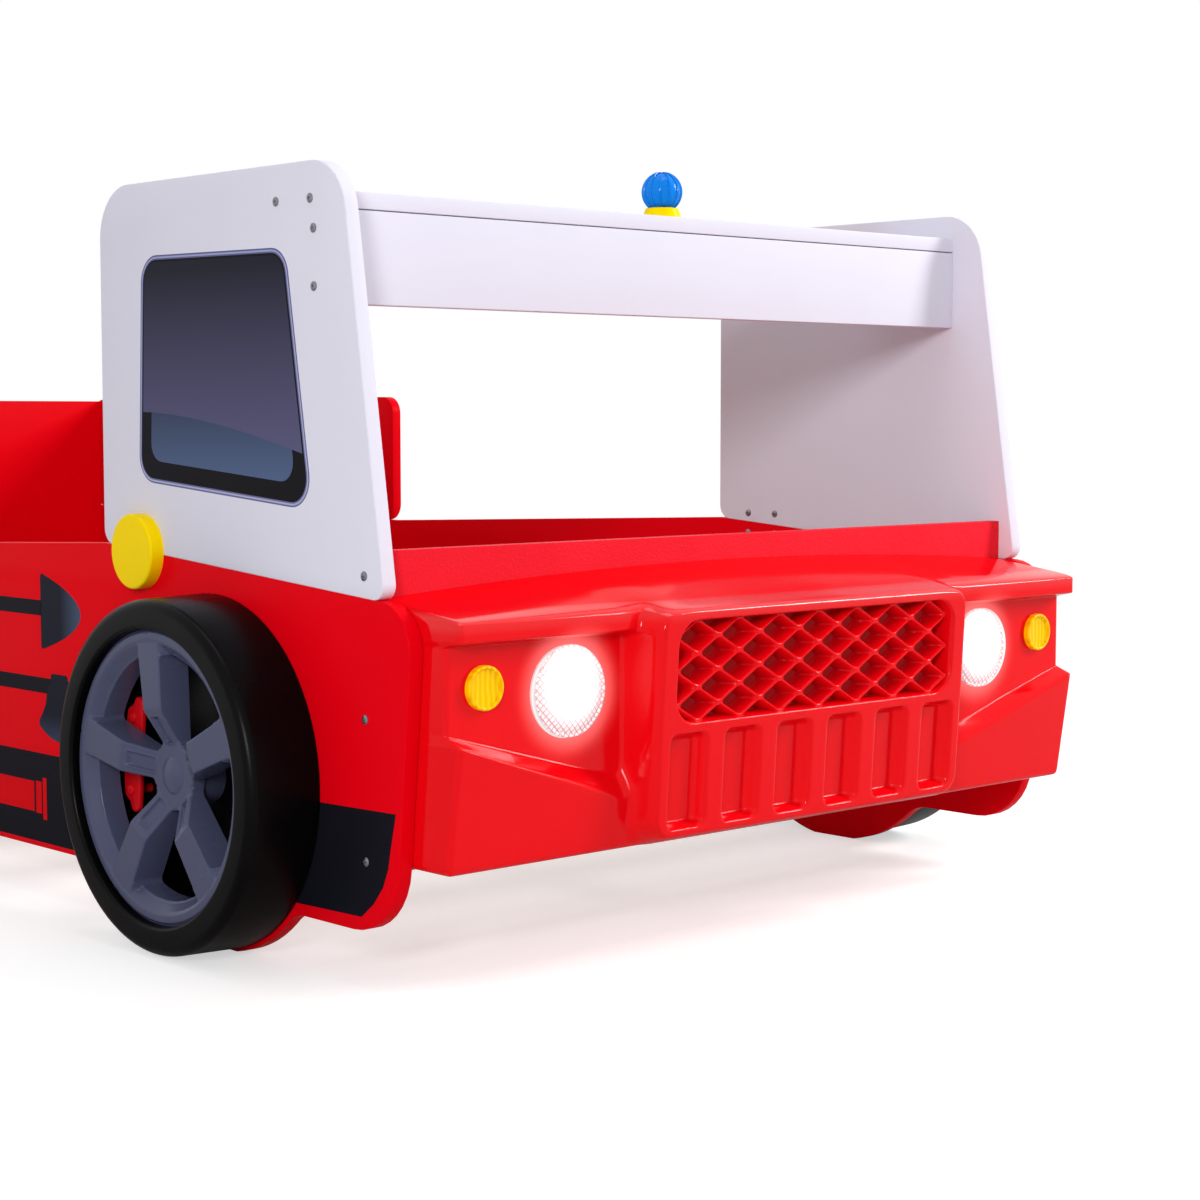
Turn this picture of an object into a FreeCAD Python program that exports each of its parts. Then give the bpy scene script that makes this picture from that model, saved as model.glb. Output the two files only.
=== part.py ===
import FreeCAD, Part
import math
import os
import re
import Sketcher

# A child's bed in the shape of a fire engine: printed boards, a moulded front fascia and plastic wheels.
# Millimetres. +Z is up, the front of the engine faces -Y, and the origin is on the floor under the middle.
# Left and right are as seen by someone who stands in front of the bed and looks at it, so left is -X.

# Driving sizes
SIZES = {
    # mattress and boards
    "mattress_width": 900,
    "mattress_length": 2000,
    "side_gap": 8,
    "end_gap": 10,
    "board": 16,
    # side panels: heights are above the floor
    "sill_height": 54,
    "apex_height": 400,
    "front_fall": 36,
    "rear_fall": 27,
    "lobe_margin": 3.5,
    "lobe_blend": 45,
    "nose_reach": 58,
    "nose_tuck": 28,
    "nose_top_radius": 46,
    "nose_bottom_radius": 66,
    "tail_top_radius": 18,
    "tail_bottom_radius": 60,
    "rear_overhang": 20,
    # cab panels and roof
    "cab_reach": 462,
    "cab_toe_reach": 22,
    "cab_height": 372,
    "cab_rake": 62,
    "cab_top_radius": 54,
    "cab_toe_radius": 14,
    "cab_heel_radius": 18,
    "roof_setback": 74,
    "roof_board_height": 90,
    "shelf_depth": 110,
    "shelf_drop": 27,
    # end boards and guards
    "front_board_rise": 10,
    "board_drop": 13,
    "headboard_bottom": 108,
    "headboard_rise": 160,
    "guard_length": 895,
    "guard_height": 190,
    "guard_radius": 25,
    # moulded fascia: depths are forward of the front board
    "fascia_depth": 138,
    "fascia_gap": 0.5,
    "fascia_lift": 67,
    "fascia_wall": 4,
    "hood_drop": 48,
    "hood_fall": 14,
    "hood_arch": 18,
    "lip_depth": 101,
    "lip_rise": 3,
    "lip_height": 21,
    "bumper_lean": 8,
    "block_drop": 2,
    "block_foot": 13,
    "block_corner": 26,
    "block_lean": 14,
    "block_edge": 9,
    "bumper_foot": 5,
    "recess_depth": 88,
    "recess_height": 137,
    "recess_rise": 52,
    "recess_corner": 24,
    "pillar": 12,
    # lattice grille and slots of the fascia
    "lattice_margin": 22,
    "lattice_drop": 12,
    "lattice_height": 99,
    "lattice_corner": 26,
    "lattice_depth": 16,
    "lattice_sink": 3,
    "lattice_pitch_x": 58,
    "lattice_pitch_z": 33,
    "lattice_rib": 7,
    "slot_gap": 14,
    "slot_margin": 20.5,
    "slot_count": 6,
    "slot_width": 40,
    "slot_corner": 8,
    "slot_floor_depth": 110,
    # headlights and turn signals
    "lamp_gap": 28,
    "lamp_drop": 55,
    "lens_radius": 44,
    "lens_depth": 11,
    "lens_edge": 8,
    "lens_wall": 2.5,
    "cup_lip": 5,
    "cup_depth": 36,
    "cup_wall": 2,
    "cup_clearance": 0.5,
    "led_margin": 7,
    "led_thickness": 2,
    "led_dome": 7,
    "signal_spacing": 36.5,
    "signal_gap": 22,
    "signal_drop": 44,
    "signal_radius": 21.5,
    "signal_depth": 8,
    "signal_edge": 4,
    "signal_peg": 6,
    "signal_peg_length": 12,
    "peg_clearance": 0.2,
    # wheels: depths are outward from the side panel
    "front_wheel_offset": 257,
    "rear_wheel_offset": 300,
    "tyre_headroom": 21.5,
    "wheel_lift": 0.5,
    "tyre_width": 79,
    "tread_draft": 3,
    "tyre_wall": 5,
    "shoulder_radius": 17,
    "sidewall": 31.5,
    "bead_edge": 4,
    "backing_thickness": 8,
    "rim_gap": 0.3,
    "rim_face": 71,
    "rim_wall": 5,
    "rim_flange": 21,
    "rim_lip": 7,
    "lip_edge": 3,
    "spoke_count": 5,
    "spoke_turn": 95,
    "spoke_width": 36,
    "spoke_face": 67,
    "spoke_depth": 30,
    "pocket_inner": 31,
    "pocket_outer": 68,
    "pocket_width": 19,
    "pocket_corner": 4,
    "pocket_depth": 4,
    "hub_radius": 28,
    "cap_radius": 19,
    "cap_rise": 5,
    "caliper_drop": 35,
    "caliper_depth": 38,
    "caliper_half_span": 29,
    "caliper_turn": 168,
    "caliper_height": 26,
    "caliper_corner": 9,
    "caliper_bolt": 6,
    "caliper_bolt_height": 3,
    # connecting discs
    "disc_radius": 39,
    "disc_thickness": 15,
    "disc_edge": 2.5,
    "disc_setback": 76,
    "disc_screw_x": 47,
    "disc_screw_z": 26,
    # beacon
    "beacon_setback": 29,
    "beacon_radius": 21,
    "beacon_base_radius": 21,
    "beacon_neck_radius": 18.5,
    "beacon_base_height": 13,
    "beacon_sink": 15,
    "beacon_rib": 1.6,
    "beacon_rib_height": 1,
    "beacon_rib_count": 12,
    "beacon_turn": 10,
    # slatted base
    "slat_rise": 5,
    "slat_thickness": 16,
    "slat_width": 80,
    "slat_count": 10,
    "slat_end_gap": 6,
    "rail_width": 32,
    "rail_height": 40,
    "beam_width": 40,
    "beam_height": 45,
    "leg_width": 44,
    "leg_inset": 550,
    # battery box and light switch
    "battery_x": 150,
    "battery_rise": 14,
    "battery_width": 84,
    "battery_height": 56,
    "battery_depth": 24,
    "battery_wall": 2,
    "battery_corner": 3,
    "cell_radius": 7.2,
    "cell_length": 50,
    "cell_clearance": 0.3,
    "switch_inset": 36,
    "switch_travel": 4,
    "knob_neck_length": 5,
    "knob_neck_height": 3,
    "knob_overlap": 1.5,
    "knob_flange": 1.5,
    "knob_thumb": 3,
    "knob_clearance": 0.3,
    # fasteners
    "screw_radius": 2,
    "screw_clearance": 0.2,
    "screw_length": 46,
    "head_radius": 4.5,
    "head_height": 2,
    "disc_screw_length": 27,
    "fascia_screw_length": 32,
    "shelf_screw_inset": 13,
    "shelf_screw_pitch": 55,
    "roof_screw_inset": 16,
    "roof_screw_pitch": 54,
    "toe_screw_drop": 23,
    "end_screw_inset": 13,
    "nose_screw_pitch": 133,
    "tail_screw_drop": 62,
    "guard_screw_inset": 45,
    "guard_screw_pitch": 90,
    "rail_screw_inset": 120,
    "dowel_radius": 4,
    "dowel_gap": 0.2,
    "dowel_length": 40,
    "dowel_inset": 90,
    "bolt_radius": 4,
    "bolt_head_radius": 8,
    "bolt_head_height": 4,
    "bolt_length": 50,
    "boss_radius": 8,
    "boss_inset": 54,
    "boss_rise": 24,
    "boss_drop": 44,
    "hole_spare": 1,
    "lead_hole": 6,
}

# Places that follow from the driving sizes
PLACES = {
    "inner_half": "mattress_width / 2 + side_gap",
    "outer_half": "inner_half + board",
    "inner_length": "mattress_length + end_gap",
    "length_overall": "fascia_depth + board + inner_length + board + rear_overhang",
    "bed_front": "fascia_depth - length_overall / 2",
    "bed_rear": "length_overall / 2",
    "well_front": "bed_front + board",
    "well_rear": "well_front + inner_length",
    "cab_rear": "bed_front + cab_reach",
    "cab_toe": "bed_front - cab_toe_reach",
    "cab_top": "apex_height + cab_height",
    "top_slope": "front_fall / (cab_rear - cab_toe)",
    "nose_front": "bed_front - nose_reach",
    "nose_top": "apex_height - top_slope * (cab_rear - nose_front)",
    "deck": "apex_height - rear_fall",
    "guard_front": "bed_rear - guard_length",
    "roof_front": "bed_front + roof_setback",
    "shelf_top": "cab_top - shelf_drop",
    "shelf_bottom": "shelf_top - board",
    "roof_bottom": "shelf_bottom - roof_board_height",
    "front_board_top": "apex_height + front_board_rise",
    "headboard_top": "apex_height + headboard_rise",
    "front_axle": "bed_front + front_wheel_offset",
    "rear_axle": "bed_rear - rear_wheel_offset",
    "fascia_half": "inner_half - fascia_gap",
    "fascia_front": "bed_front - fascia_depth",
    "lip_top": "apex_height - hood_drop",
    "hood_side": "lip_top + hood_fall",
    "hood_crown": "hood_side + hood_arch",
    "block_top": "lip_top - block_drop",
    "lattice_top": "block_top - lattice_drop",
    "lattice_bottom": "lattice_top - lattice_height",
    "slot_top": "lattice_bottom - slot_gap",
    "fascia_bottom": "sill_height + fascia_lift",
    "block_bottom": "fascia_bottom + bumper_foot",
    "slot_bottom": "block_bottom + block_foot",
    "recess_top": "lip_top - lip_height",
    "recess_low": "recess_top - recess_height",
    "lamp_bay": "pillar + lamp_gap + 2 * lens_radius + signal_spacing + 2 * signal_radius + signal_gap",
    "block_half": "fascia_half - lamp_bay",
    "recess_inner": "block_half + pillar",
    "lamp_x": "recess_inner + lamp_gap + lens_radius",
    "lamp_z": "recess_top - lamp_drop",
    "signal_x": "fascia_half - signal_gap - signal_radius",
    "signal_z": "recess_top - signal_drop",
    "cup_radius": "lens_radius - cup_lip",
    "led_radius": "cup_radius - cup_wall - led_margin",
    "lattice_half": "block_half - lattice_margin",
    "slot_pitch": "(2 * (block_half - slot_margin) - slot_width) / (slot_count - 1)",
    "front_board_bottom": "fascia_bottom - board_drop",
    "lip_front": "bed_front - lip_depth",
    "recess_face": "bed_front - recess_depth",
    "void_depth": "recess_depth - fascia_wall",
    "block_void_depth": "slot_floor_depth - fascia_wall",
    "void_share": "void_depth / lip_depth",
    "void_side": "hood_side - (hood_side - lip_top) * void_share - fascia_wall",
    "void_crown": "hood_crown - (hood_crown - lip_top - lip_rise) * void_share - fascia_wall",
    "tyre_radius": "apex_height / 2 - tyre_headroom",
    "wheel_height": "tyre_radius + wheel_lift",
    "lobe_radius": "tyre_radius + lobe_margin",
    "bead_radius": "tyre_radius - sidewall",
    "rim_radius": "bead_radius - rim_gap",
    "barrel_radius": "rim_radius - rim_wall",
    "lip_inner": "bead_radius - rim_flange",
    "spoke_back": "spoke_face - spoke_depth",
    "caliper_outer": "bead_radius - caliper_drop",
    "caliper_inner": "caliper_outer - caliper_depth",
    "disc_y": "cab_rear - disc_setback",
    "disc_z": "apex_height - top_slope * disc_setback",
    "beacon_y": "roof_front + beacon_setback",
    "beacon_seat": "shelf_top + beacon_base_height",
    "beacon_centre": "beacon_seat + beacon_sink",
    "slat_top": "wheel_height + slat_rise",
    "slat_bottom": "slat_top - slat_thickness",
    "slat_half": "inner_half - slat_end_gap",
    "beam_bottom": "slat_bottom - beam_height",
    "battery_z": "front_board_bottom + battery_rise",
    "battery_rear": "well_front + battery_depth",
    "lid_rear": "battery_rear + battery_wall",
    "switch_z": "battery_z + battery_height / 2",
    "knob_left": "battery_x + switch_inset",
    "knob_right": "knob_left + knob_neck_length",
    "hole_radius": "screw_radius + screw_clearance",
    "end_hole_depth": "screw_length - board + hole_spare",
    "boss_x": "fascia_half - boss_inset",
    "boss_low": "fascia_bottom + boss_rise",
    "boss_high": "hood_side - boss_drop",
    "boss_hole_depth": "fascia_screw_length - board + hole_spare",
    "disc_hole_depth": "disc_screw_length - board + hole_spare",
    "rail_hole_depth": "screw_length - rail_width + hole_spare",
    "bolt_hole": "bolt_radius + screw_clearance",
    "bolt_reach": "bolt_length - board + hole_spare",
}

SIDES = (("left", -1), ("right", 1))
AXLES = (("front", "front_axle"), ("rear", "rear_axle"))
WORD = re.compile(r"[a-z_]+")
UP = FreeCAD.Vector(0, 0, 1)
ALONG = FreeCAD.Vector(1, 0, 0)

doc = FreeCAD.newDocument("fire_engine_bed")
sheet = doc.addObject("Spreadsheet::Sheet", "Sizes")
workings = doc.addObject("Spreadsheet::Sheet", "Workings")
pieces = []


# The sheet

def fill_sheet():
    """Column A names each value and column B holds it, first the driving sizes and then the places."""
    cells = {**SIZES, **{name: "=" + formula for name, formula in PLACES.items()}}
    for row, (name, content) in enumerate(cells.items(), start=1):
        sheet.set(f"A{row}", name)
        sheet.set(f"B{row}", str(content))
        sheet.setAlias(f"B{row}", name)
    doc.recompute()


def link(formula):
    """The formula with every named value written as a reference to the sheet."""
    def reference(match):
        word = match.group()
        return f"Sizes.{word}" if word in SIZES or word in PLACES else word
    return WORD.sub(reference, str(formula))


def number(formula):
    """What a formula comes to now."""
    workings.set("A1", "=" + link(formula))
    workings.recompute()
    return float(workings.get("A1"))


def bind(thing, setting, formula):
    thing.setExpression(setting, link(formula))


# Sketches

def datum(body, role):
    """The origin plane or axis of a body that has this role."""
    return next(feature for feature in body.Origin.OriginFeatures if feature.Role == role)


def sketch_on(body, name, role, offset):
    """A new sketch on an origin plane, moved along that plane's normal: +X, -Y or +Z."""
    sketch = body.newObject("Sketcher::SketchObject", name)
    sketch.AttachmentSupport = (datum(body, role), [""])
    sketch.MapMode = "FlatFace"
    bind(sketch, "AttachmentOffset.Base.z", offset)
    return sketch


def tie(sketch, kind, formula, *where):
    """A dimension that follows a formula."""
    index = sketch.addConstraint(Sketcher.Constraint(kind, *where, number(formula)))
    bind(sketch, f"Constraints[{index}]", formula)


def place_point(sketch, geometry, point, x, y):
    tie(sketch, "DistanceX", x, -1, 1, geometry, point)
    tie(sketch, "DistanceY", y, -1, 1, geometry, point)


def corner_arc(before, corner, after, radius):
    """The arc that rounds a corner: its ends, the curve, and whether it turns the outline to the left."""
    towards_before = (before - corner).normalize()
    towards_after = (after - corner).normalize()
    half = towards_before.getAngle(towards_after) / 2
    start = corner + towards_before * (radius / math.tan(half))
    end = corner + towards_after * (radius / math.tan(half))
    centre = corner + (towards_before + towards_after).normalize() * (radius / math.sin(half))
    left_turn = (corner - before).cross(after - corner).z > 0
    first, last = (start, end) if left_turn else (end, start)
    first_angle = math.atan2(first.y - centre.y, first.x - centre.x)
    last_angle = math.atan2(last.y - centre.y, last.x - centre.x)
    if last_angle < first_angle:
        last_angle += 2 * math.pi
    curve = Part.ArcOfCircle(Part.Circle(centre, UP, radius), first_angle, last_angle)
    return start, end, curve, left_turn


def outline(sketch, corners):
    """A closed outline, anticlockwise. Each corner is (x, y, radius), with no radius where it is sharp."""
    points = [FreeCAD.Vector(number(x), number(y), 0) for x, y, radius in corners]
    count = len(points)
    bends = {}
    starts = list(points)
    ends = list(points)
    for i, (x, y, radius) in enumerate(corners):
        if radius:
            arc = corner_arc(points[i - 1], points[i], points[(i + 1) % count], number(radius))
            starts[i], ends[i] = arc[:2]
            bends[i] = arc[2:]
    lines = [sketch.addGeometry(Part.LineSegment(ends[i], starts[(i + 1) % count])) for i in range(count)]
    for i, (x, y, radius) in enumerate(corners):
        before, after = lines[i - 1], lines[i]
        if not radius:
            sketch.addConstraint(Sketcher.Constraint("Coincident", before, 2, after, 1))
            place_point(sketch, after, 1, x, y)
            continue
        curve, left_turn = bends[i]
        bend = sketch.addGeometry(curve)
        corner = sketch.addGeometry(Part.Point(points[i]), True)
        first, last = (1, 2) if left_turn else (2, 1)
        sketch.addConstraint(Sketcher.Constraint("Tangent", before, 2, bend, first))
        sketch.addConstraint(Sketcher.Constraint("Tangent", bend, last, after, 1))
        sketch.addConstraint(Sketcher.Constraint("PointOnObject", corner, 1, before))
        sketch.addConstraint(Sketcher.Constraint("PointOnObject", corner, 1, after))
        tie(sketch, "Radius", radius, bend)
        place_point(sketch, corner, 1, x, y)


def rectangle(sketch, x_low, y_low, x_high, y_high, radius=None):
    outline(sketch, [(x_low, y_low, radius), (x_high, y_low, radius),
                     (x_high, y_high, radius), (x_low, y_high, radius)])


def circle(sketch, x, y, radius):
    centre = FreeCAD.Vector(number(x), number(y), 0)
    ring = sketch.addGeometry(Part.Circle(centre, UP, number(radius)))
    place_point(sketch, ring, 3, x, y)
    tie(sketch, "Radius", radius, ring)


def arched(sketch, half, bottom, side, crown):
    """A box outline whose top is an arc through the two sides and the crown."""
    left, right = -number(half), number(half)
    low, high, peak = number(bottom), number(side), number(crown)
    base = sketch.addGeometry(Part.LineSegment(FreeCAD.Vector(left, low, 0), FreeCAD.Vector(right, low, 0)))
    rise = sketch.addGeometry(Part.LineSegment(FreeCAD.Vector(right, low, 0), FreeCAD.Vector(right, high, 0)))
    arch = sketch.addGeometry(Part.Arc(FreeCAD.Vector(right, high, 0), FreeCAD.Vector(0, peak, 0),
                                       FreeCAD.Vector(left, high, 0)))
    fall = sketch.addGeometry(Part.LineSegment(FreeCAD.Vector(left, high, 0), FreeCAD.Vector(left, low, 0)))
    top = sketch.addGeometry(Part.Point(FreeCAD.Vector(0, peak, 0)), True)
    for one, two in ((base, rise), (rise, arch), (arch, fall), (fall, base)):
        sketch.addConstraint(Sketcher.Constraint("Coincident", one, 2, two, 1))
    place_point(sketch, base, 1, f"-({half})", bottom)
    place_point(sketch, base, 2, half, bottom)
    place_point(sketch, rise, 2, half, side)
    place_point(sketch, fall, 1, f"-({half})", side)
    place_point(sketch, top, 1, "0", crown)
    sketch.addConstraint(Sketcher.Constraint("PointOnObject", top, 1, arch))


# Features

def start(name):
    """A new body, kept as a piece under its own name."""
    body = doc.addObject("PartDesign::Body", name)
    body.Label = name
    pieces.append(body)
    return body


def pad(body, sketch, length):
    feature = body.newObject("PartDesign::Pad", sketch.Name + "_pad")
    feature.Profile = sketch
    bind(feature, "Length", length)
    return feature


def pocket(body, sketch, length):
    """A cut against the sketch plane's normal: towards -X, +Y or -Z."""
    doc.recompute()
    before = body.Shape.Volume
    feature = body.newObject("PartDesign::Pocket", sketch.Name + "_pocket")
    feature.Profile = sketch
    bind(feature, "Length", length)
    doc.recompute()
    if body.Shape.Volume >= before:
        raise ValueError(f"{sketch.Name} cuts nothing from {body.Label}")
    return feature


def revolve(body, sketch):
    """A full turn of the sketch about the body's X axis."""
    feature = body.newObject("PartDesign::Revolution", sketch.Name + "_turn")
    feature.Profile = sketch
    feature.ReferenceAxis = (datum(body, "X_Axis"), [""])
    feature.Angle = 360
    return feature


def polar(body, feature, axis, count):
    pattern = body.newObject("PartDesign::PolarPattern", feature.Name + "_ring")
    pattern.Originals = [feature]
    pattern.Axis = (datum(body, axis), [""])
    pattern.Angle = 360
    bind(pattern, "Occurrences", count)
    body.Tip = pattern
    return pattern


def round_edges(body, name, radius, chosen):
    """A fillet on the edges of the body that pass the test."""
    doc.recompute()
    base = body.Tip
    names = [f"Edge{i}" for i, edge in enumerate(base.Shape.Edges, start=1) if chosen(edge)]
    if not names:
        raise ValueError(f"{name} finds no edge on {body.Label}")
    feature = body.newObject("PartDesign::Fillet", name)
    feature.Base = (base, names)
    bind(feature, "Radius", radius)
    return feature


def turn_piece(thing, x, y, z, angle=0):
    """Stands a piece at a place, turned about the vertical."""
    thing.Placement = FreeCAD.Placement(FreeCAD.Vector(), FreeCAD.Rotation(UP, angle))
    for axis, formula in (("x", x), ("y", y), ("z", z)):
        bind(thing, f"Placement.Base.{axis}", formula)


def box(name, x, y, z, length, width, height):
    """A plain board or batten by its low corner and its sizes along X, Y and Z."""
    thing = doc.addObject("Part::Box", name)
    thing.Label = name
    for setting, formula in (("Length", length), ("Width", width), ("Height", height)):
        bind(thing, setting, formula)
    turn_piece(thing, x, y, z)
    pieces.append(thing)
    return thing


def group(name, solids):
    """Several like solids kept together as one piece."""
    thing = doc.addObject("Part::Feature", name)
    thing.Label = name
    thing.Shape = Part.makeCompound(solids)
    pieces.append(thing)
    return thing


# Places of the fasteners, as (y, z) on the side faces

SHELF_SCREWS = [("roof_front + shelf_screw_inset", "shelf_bottom + board / 2"),
                ("roof_front + shelf_screw_inset + shelf_screw_pitch", "shelf_bottom + board / 2")]
ROOF_SCREWS = [("roof_front + board / 2", "roof_bottom + roof_screw_inset"),
               ("roof_front + board / 2", "roof_bottom + roof_screw_inset + roof_screw_pitch")]
TOE_SCREWS = [("bed_front + board / 2", "front_board_top - toe_screw_drop")]
NOSE_SCREWS = [("bed_front + board / 2", "front_board_bottom + end_screw_inset"),
               ("bed_front + board / 2", "front_board_bottom + end_screw_inset + nose_screw_pitch")]
TAIL_SCREWS = [("well_rear + board / 2", "headboard_bottom + end_screw_inset"),
               ("well_rear + board / 2", "deck - tail_screw_drop")]
GUARD_SCREWS = [("well_rear + board / 2", "deck + guard_screw_inset"),
                ("well_rear + board / 2", "deck + guard_screw_inset + guard_screw_pitch")]
DISC_SCREWS = [(f"disc_y {a} disc_screw_x / 2", f"disc_z {b} disc_screw_z / 2") for a in "+-" for b in "+-"]
RAIL_SCREWS = [("well_front + rail_screw_inset", "slat_bottom - rail_height / 2"),
               ("well_rear - rail_screw_inset", "slat_bottom - rail_height / 2")]
DOWELS = ["guard_front + dowel_inset", "bed_rear - dowel_inset"]


def drill(body, name, offset, points, radius, depth):
    """Round holes along X, cut from the plane at this X towards -X."""
    sketch = sketch_on(body, name, "YZ_Plane", offset)
    for y, z in points:
        circle(sketch, y, z, radius)
    return pocket(body, sketch, depth)


def drill_ends(body, name, points):
    """Screw holes in both ends of a board that stands between the side panels."""
    drill(body, name + "_right", "inner_half", points, "hole_radius", "end_hole_depth")
    drill(body, name + "_left", "end_hole_depth - inner_half", points, "hole_radius", "end_hole_depth")


# Side panels, cab panels and guards

def panel_start(side):
    """X of the lower face of a board in the plane of a side panel."""
    return "-outer_half" if side < 0 else "inner_half"


def panel_end(side):
    return "-inner_half" if side < 0 else "outer_half"


def round_foot(sketch, axle):
    """The lower half of a disc about the axle, cut flat at the floor."""
    centre = FreeCAD.Vector(number(axle), number("wheel_height"), 0)
    radius = number("lobe_radius")
    rim = Part.Circle(centre, UP, radius)
    reach = math.sqrt(radius ** 2 - centre.y ** 2)
    low = math.atan2(centre.y, reach)
    front_top, rear_top = centre - FreeCAD.Vector(radius, 0, 0), centre + FreeCAD.Vector(radius, 0, 0)
    front_toe, rear_toe = FreeCAD.Vector(centre.x - reach, 0, 0), FreeCAD.Vector(centre.x + reach, 0, 0)
    front = sketch.addGeometry(Part.ArcOfCircle(rim, math.pi, math.pi + low))
    sole = sketch.addGeometry(Part.LineSegment(front_toe, rear_toe))
    rear = sketch.addGeometry(Part.ArcOfCircle(rim, 2 * math.pi - low, 2 * math.pi))
    top = sketch.addGeometry(Part.LineSegment(rear_top, front_top))
    for one, two in ((front, sole), (sole, rear), (rear, top), (top, front)):
        sketch.addConstraint(Sketcher.Constraint("Coincident", one, 2, two, 1))
    sketch.addConstraint(Sketcher.Constraint("Coincident", front, 3, rear, 3))
    sketch.addConstraint(Sketcher.Constraint("PointOnObject", sole, 1, -1))
    sketch.addConstraint(Sketcher.Constraint("PointOnObject", sole, 2, -1))
    sketch.addConstraint(Sketcher.Constraint("Horizontal", top))
    sketch.addConstraint(Sketcher.Constraint("PointOnObject", front, 3, top))
    place_point(sketch, front, 3, axle, "wheel_height")
    tie(sketch, "Radius", "lobe_radius", front)


def side_panel(label, side):
    """A side of the engine: a long board with a round foot behind each wheel."""
    body = start(f"side_panel_{label}")
    edge = sketch_on(body, f"side_edge_{label}", "YZ_Plane", panel_start(side))
    outline(edge, [
        ("nose_front + nose_tuck", "sill_height", "nose_bottom_radius"),
        ("bed_rear", "sill_height", "tail_bottom_radius"),
        ("bed_rear", "deck", "tail_top_radius"),
        ("guard_front", "deck", None),
        ("cab_rear", "apex_height", None),
        ("nose_front", "nose_top", "nose_top_radius"),
    ])
    pad(body, edge, "board")
    for end, axle in AXLES:
        foot = sketch_on(body, f"foot_{end}_{label}", "YZ_Plane", panel_start(side))
        round_foot(foot, axle)
        pad(body, foot, "board")
    sill = number("sill_height")
    half_foot = math.sqrt(number("lobe_radius") ** 2 - (number("wheel_height") - sill) ** 2)
    meetings = [number(axle) + step for end, axle in AXLES for step in (-half_foot, half_foot)]

    def meets_foot(one):
        middle = one.CenterOfMass
        across = one.BoundBox.XLength > number("board") / 2
        return across and abs(middle.z - sill) < 0.01 and any(abs(middle.y - y) < 0.5 for y in meetings)

    round_edges(body, f"foot_blend_{label}", "lobe_blend", meets_foot)
    drill(body, f"side_holes_{label}", panel_end(side), NOSE_SCREWS + TAIL_SCREWS, "hole_radius", "board")
    drill(body, f"side_disc_holes_{label}", panel_end(side), [DISC_SCREWS[1], DISC_SCREWS[3]],
          "hole_radius", "board")
    drill(body, f"axle_holes_{label}", panel_end(side), [(axle, "wheel_height") for end, axle in AXLES],
          "bolt_hole", "board")
    inner_face = "-inner_half" if side < 0 else "inner_half + rail_hole_depth"
    drill(body, f"side_rail_holes_{label}", inner_face, RAIL_SCREWS, "hole_radius", "rail_hole_depth")
    peg_holes = sketch_on(body, f"side_dowel_holes_{label}", "XY_Plane", "deck")
    for y in DOWELS:
        circle(peg_holes, f"{side} * (inner_half + board / 2)", y, "dowel_radius + dowel_gap")
    pocket(body, peg_holes, "dowel_length / 2 + hole_spare")
    return body


def cab_panel(label, side):
    """A side of the cab, standing on the sloping top of the side panel."""
    body = start(f"cab_panel_{label}")
    edge = sketch_on(body, f"cab_edge_{label}", "YZ_Plane", panel_start(side))
    outline(edge, [
        ("cab_toe", "apex_height - front_fall", "cab_toe_radius"),
        ("cab_rear", "apex_height", "cab_heel_radius"),
        ("cab_rear", "cab_top", "cab_top_radius"),
        ("cab_toe + cab_rake", "cab_top", "cab_top_radius"),
    ])
    pad(body, edge, "board")
    drill(body, f"cab_holes_{label}", panel_end(side), SHELF_SCREWS + ROOF_SCREWS + TOE_SCREWS,
          "hole_radius", "board")
    drill(body, f"cab_disc_holes_{label}", panel_end(side), [DISC_SCREWS[0], DISC_SCREWS[2]],
          "hole_radius", "board")
    return body


def guard(label, side):
    """A rail board at the sleeper's head, doweled to the top of the side panel."""
    body = start(f"guard_{label}")
    edge = sketch_on(body, f"guard_edge_{label}", "YZ_Plane", panel_start(side))
    rectangle(edge, "guard_front", "deck", "bed_rear - tail_top_radius", "deck + guard_height",
              "guard_radius")
    pad(body, edge, "board")
    drill(body, f"guard_holes_{label}", panel_end(side), GUARD_SCREWS, "hole_radius", "board")
    peg_holes = sketch_on(body, f"guard_dowel_holes_{label}", "XY_Plane",
                          "deck + dowel_length / 2 + hole_spare")
    for y in DOWELS:
        circle(peg_holes, f"{side} * (inner_half + board / 2)", y, "dowel_radius + dowel_gap")
    pocket(body, peg_holes, "dowel_length / 2 + hole_spare")
    return body


# Boards between the sides

def cross_board(name, y, width, z_low, z_high, screws):
    """A board from one side to the other, with screw holes in its two ends."""
    body = start(name)
    face = sketch_on(body, name + "_face", "XY_Plane", z_low)
    rectangle(face, "-inner_half", y, "inner_half", f"{y} + {width}")
    pad(body, face, f"{z_high} - ({z_low})")
    drill_ends(body, name + "_holes", screws)
    return body


def cross_boards():
    cross_board("roof_shelf", "roof_front", "shelf_depth", "shelf_bottom", "shelf_top", SHELF_SCREWS)
    cross_board("roof_front_board", "roof_front", "board", "roof_bottom", "shelf_bottom", ROOF_SCREWS)
    cross_board("headboard", "well_rear", "board", "headboard_bottom", "headboard_top",
                TAIL_SCREWS + GUARD_SCREWS)
    front = cross_board("front_board", "bed_front", "board", "front_board_bottom", "front_board_top",
                        NOSE_SCREWS + TOE_SCREWS)
    holes = sketch_on(front, "front_board_face_holes", "XZ_Plane", "-bed_front")
    for side in (-1, 1):
        circle(holes, f"{side} * lamp_x", "lamp_z", "lead_hole")
        for height in ("boss_low", "boss_high"):
            circle(holes, f"{side} * boss_x", height, "hole_radius")
    pocket(front, holes, "board")


# The moulded fascia

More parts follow.
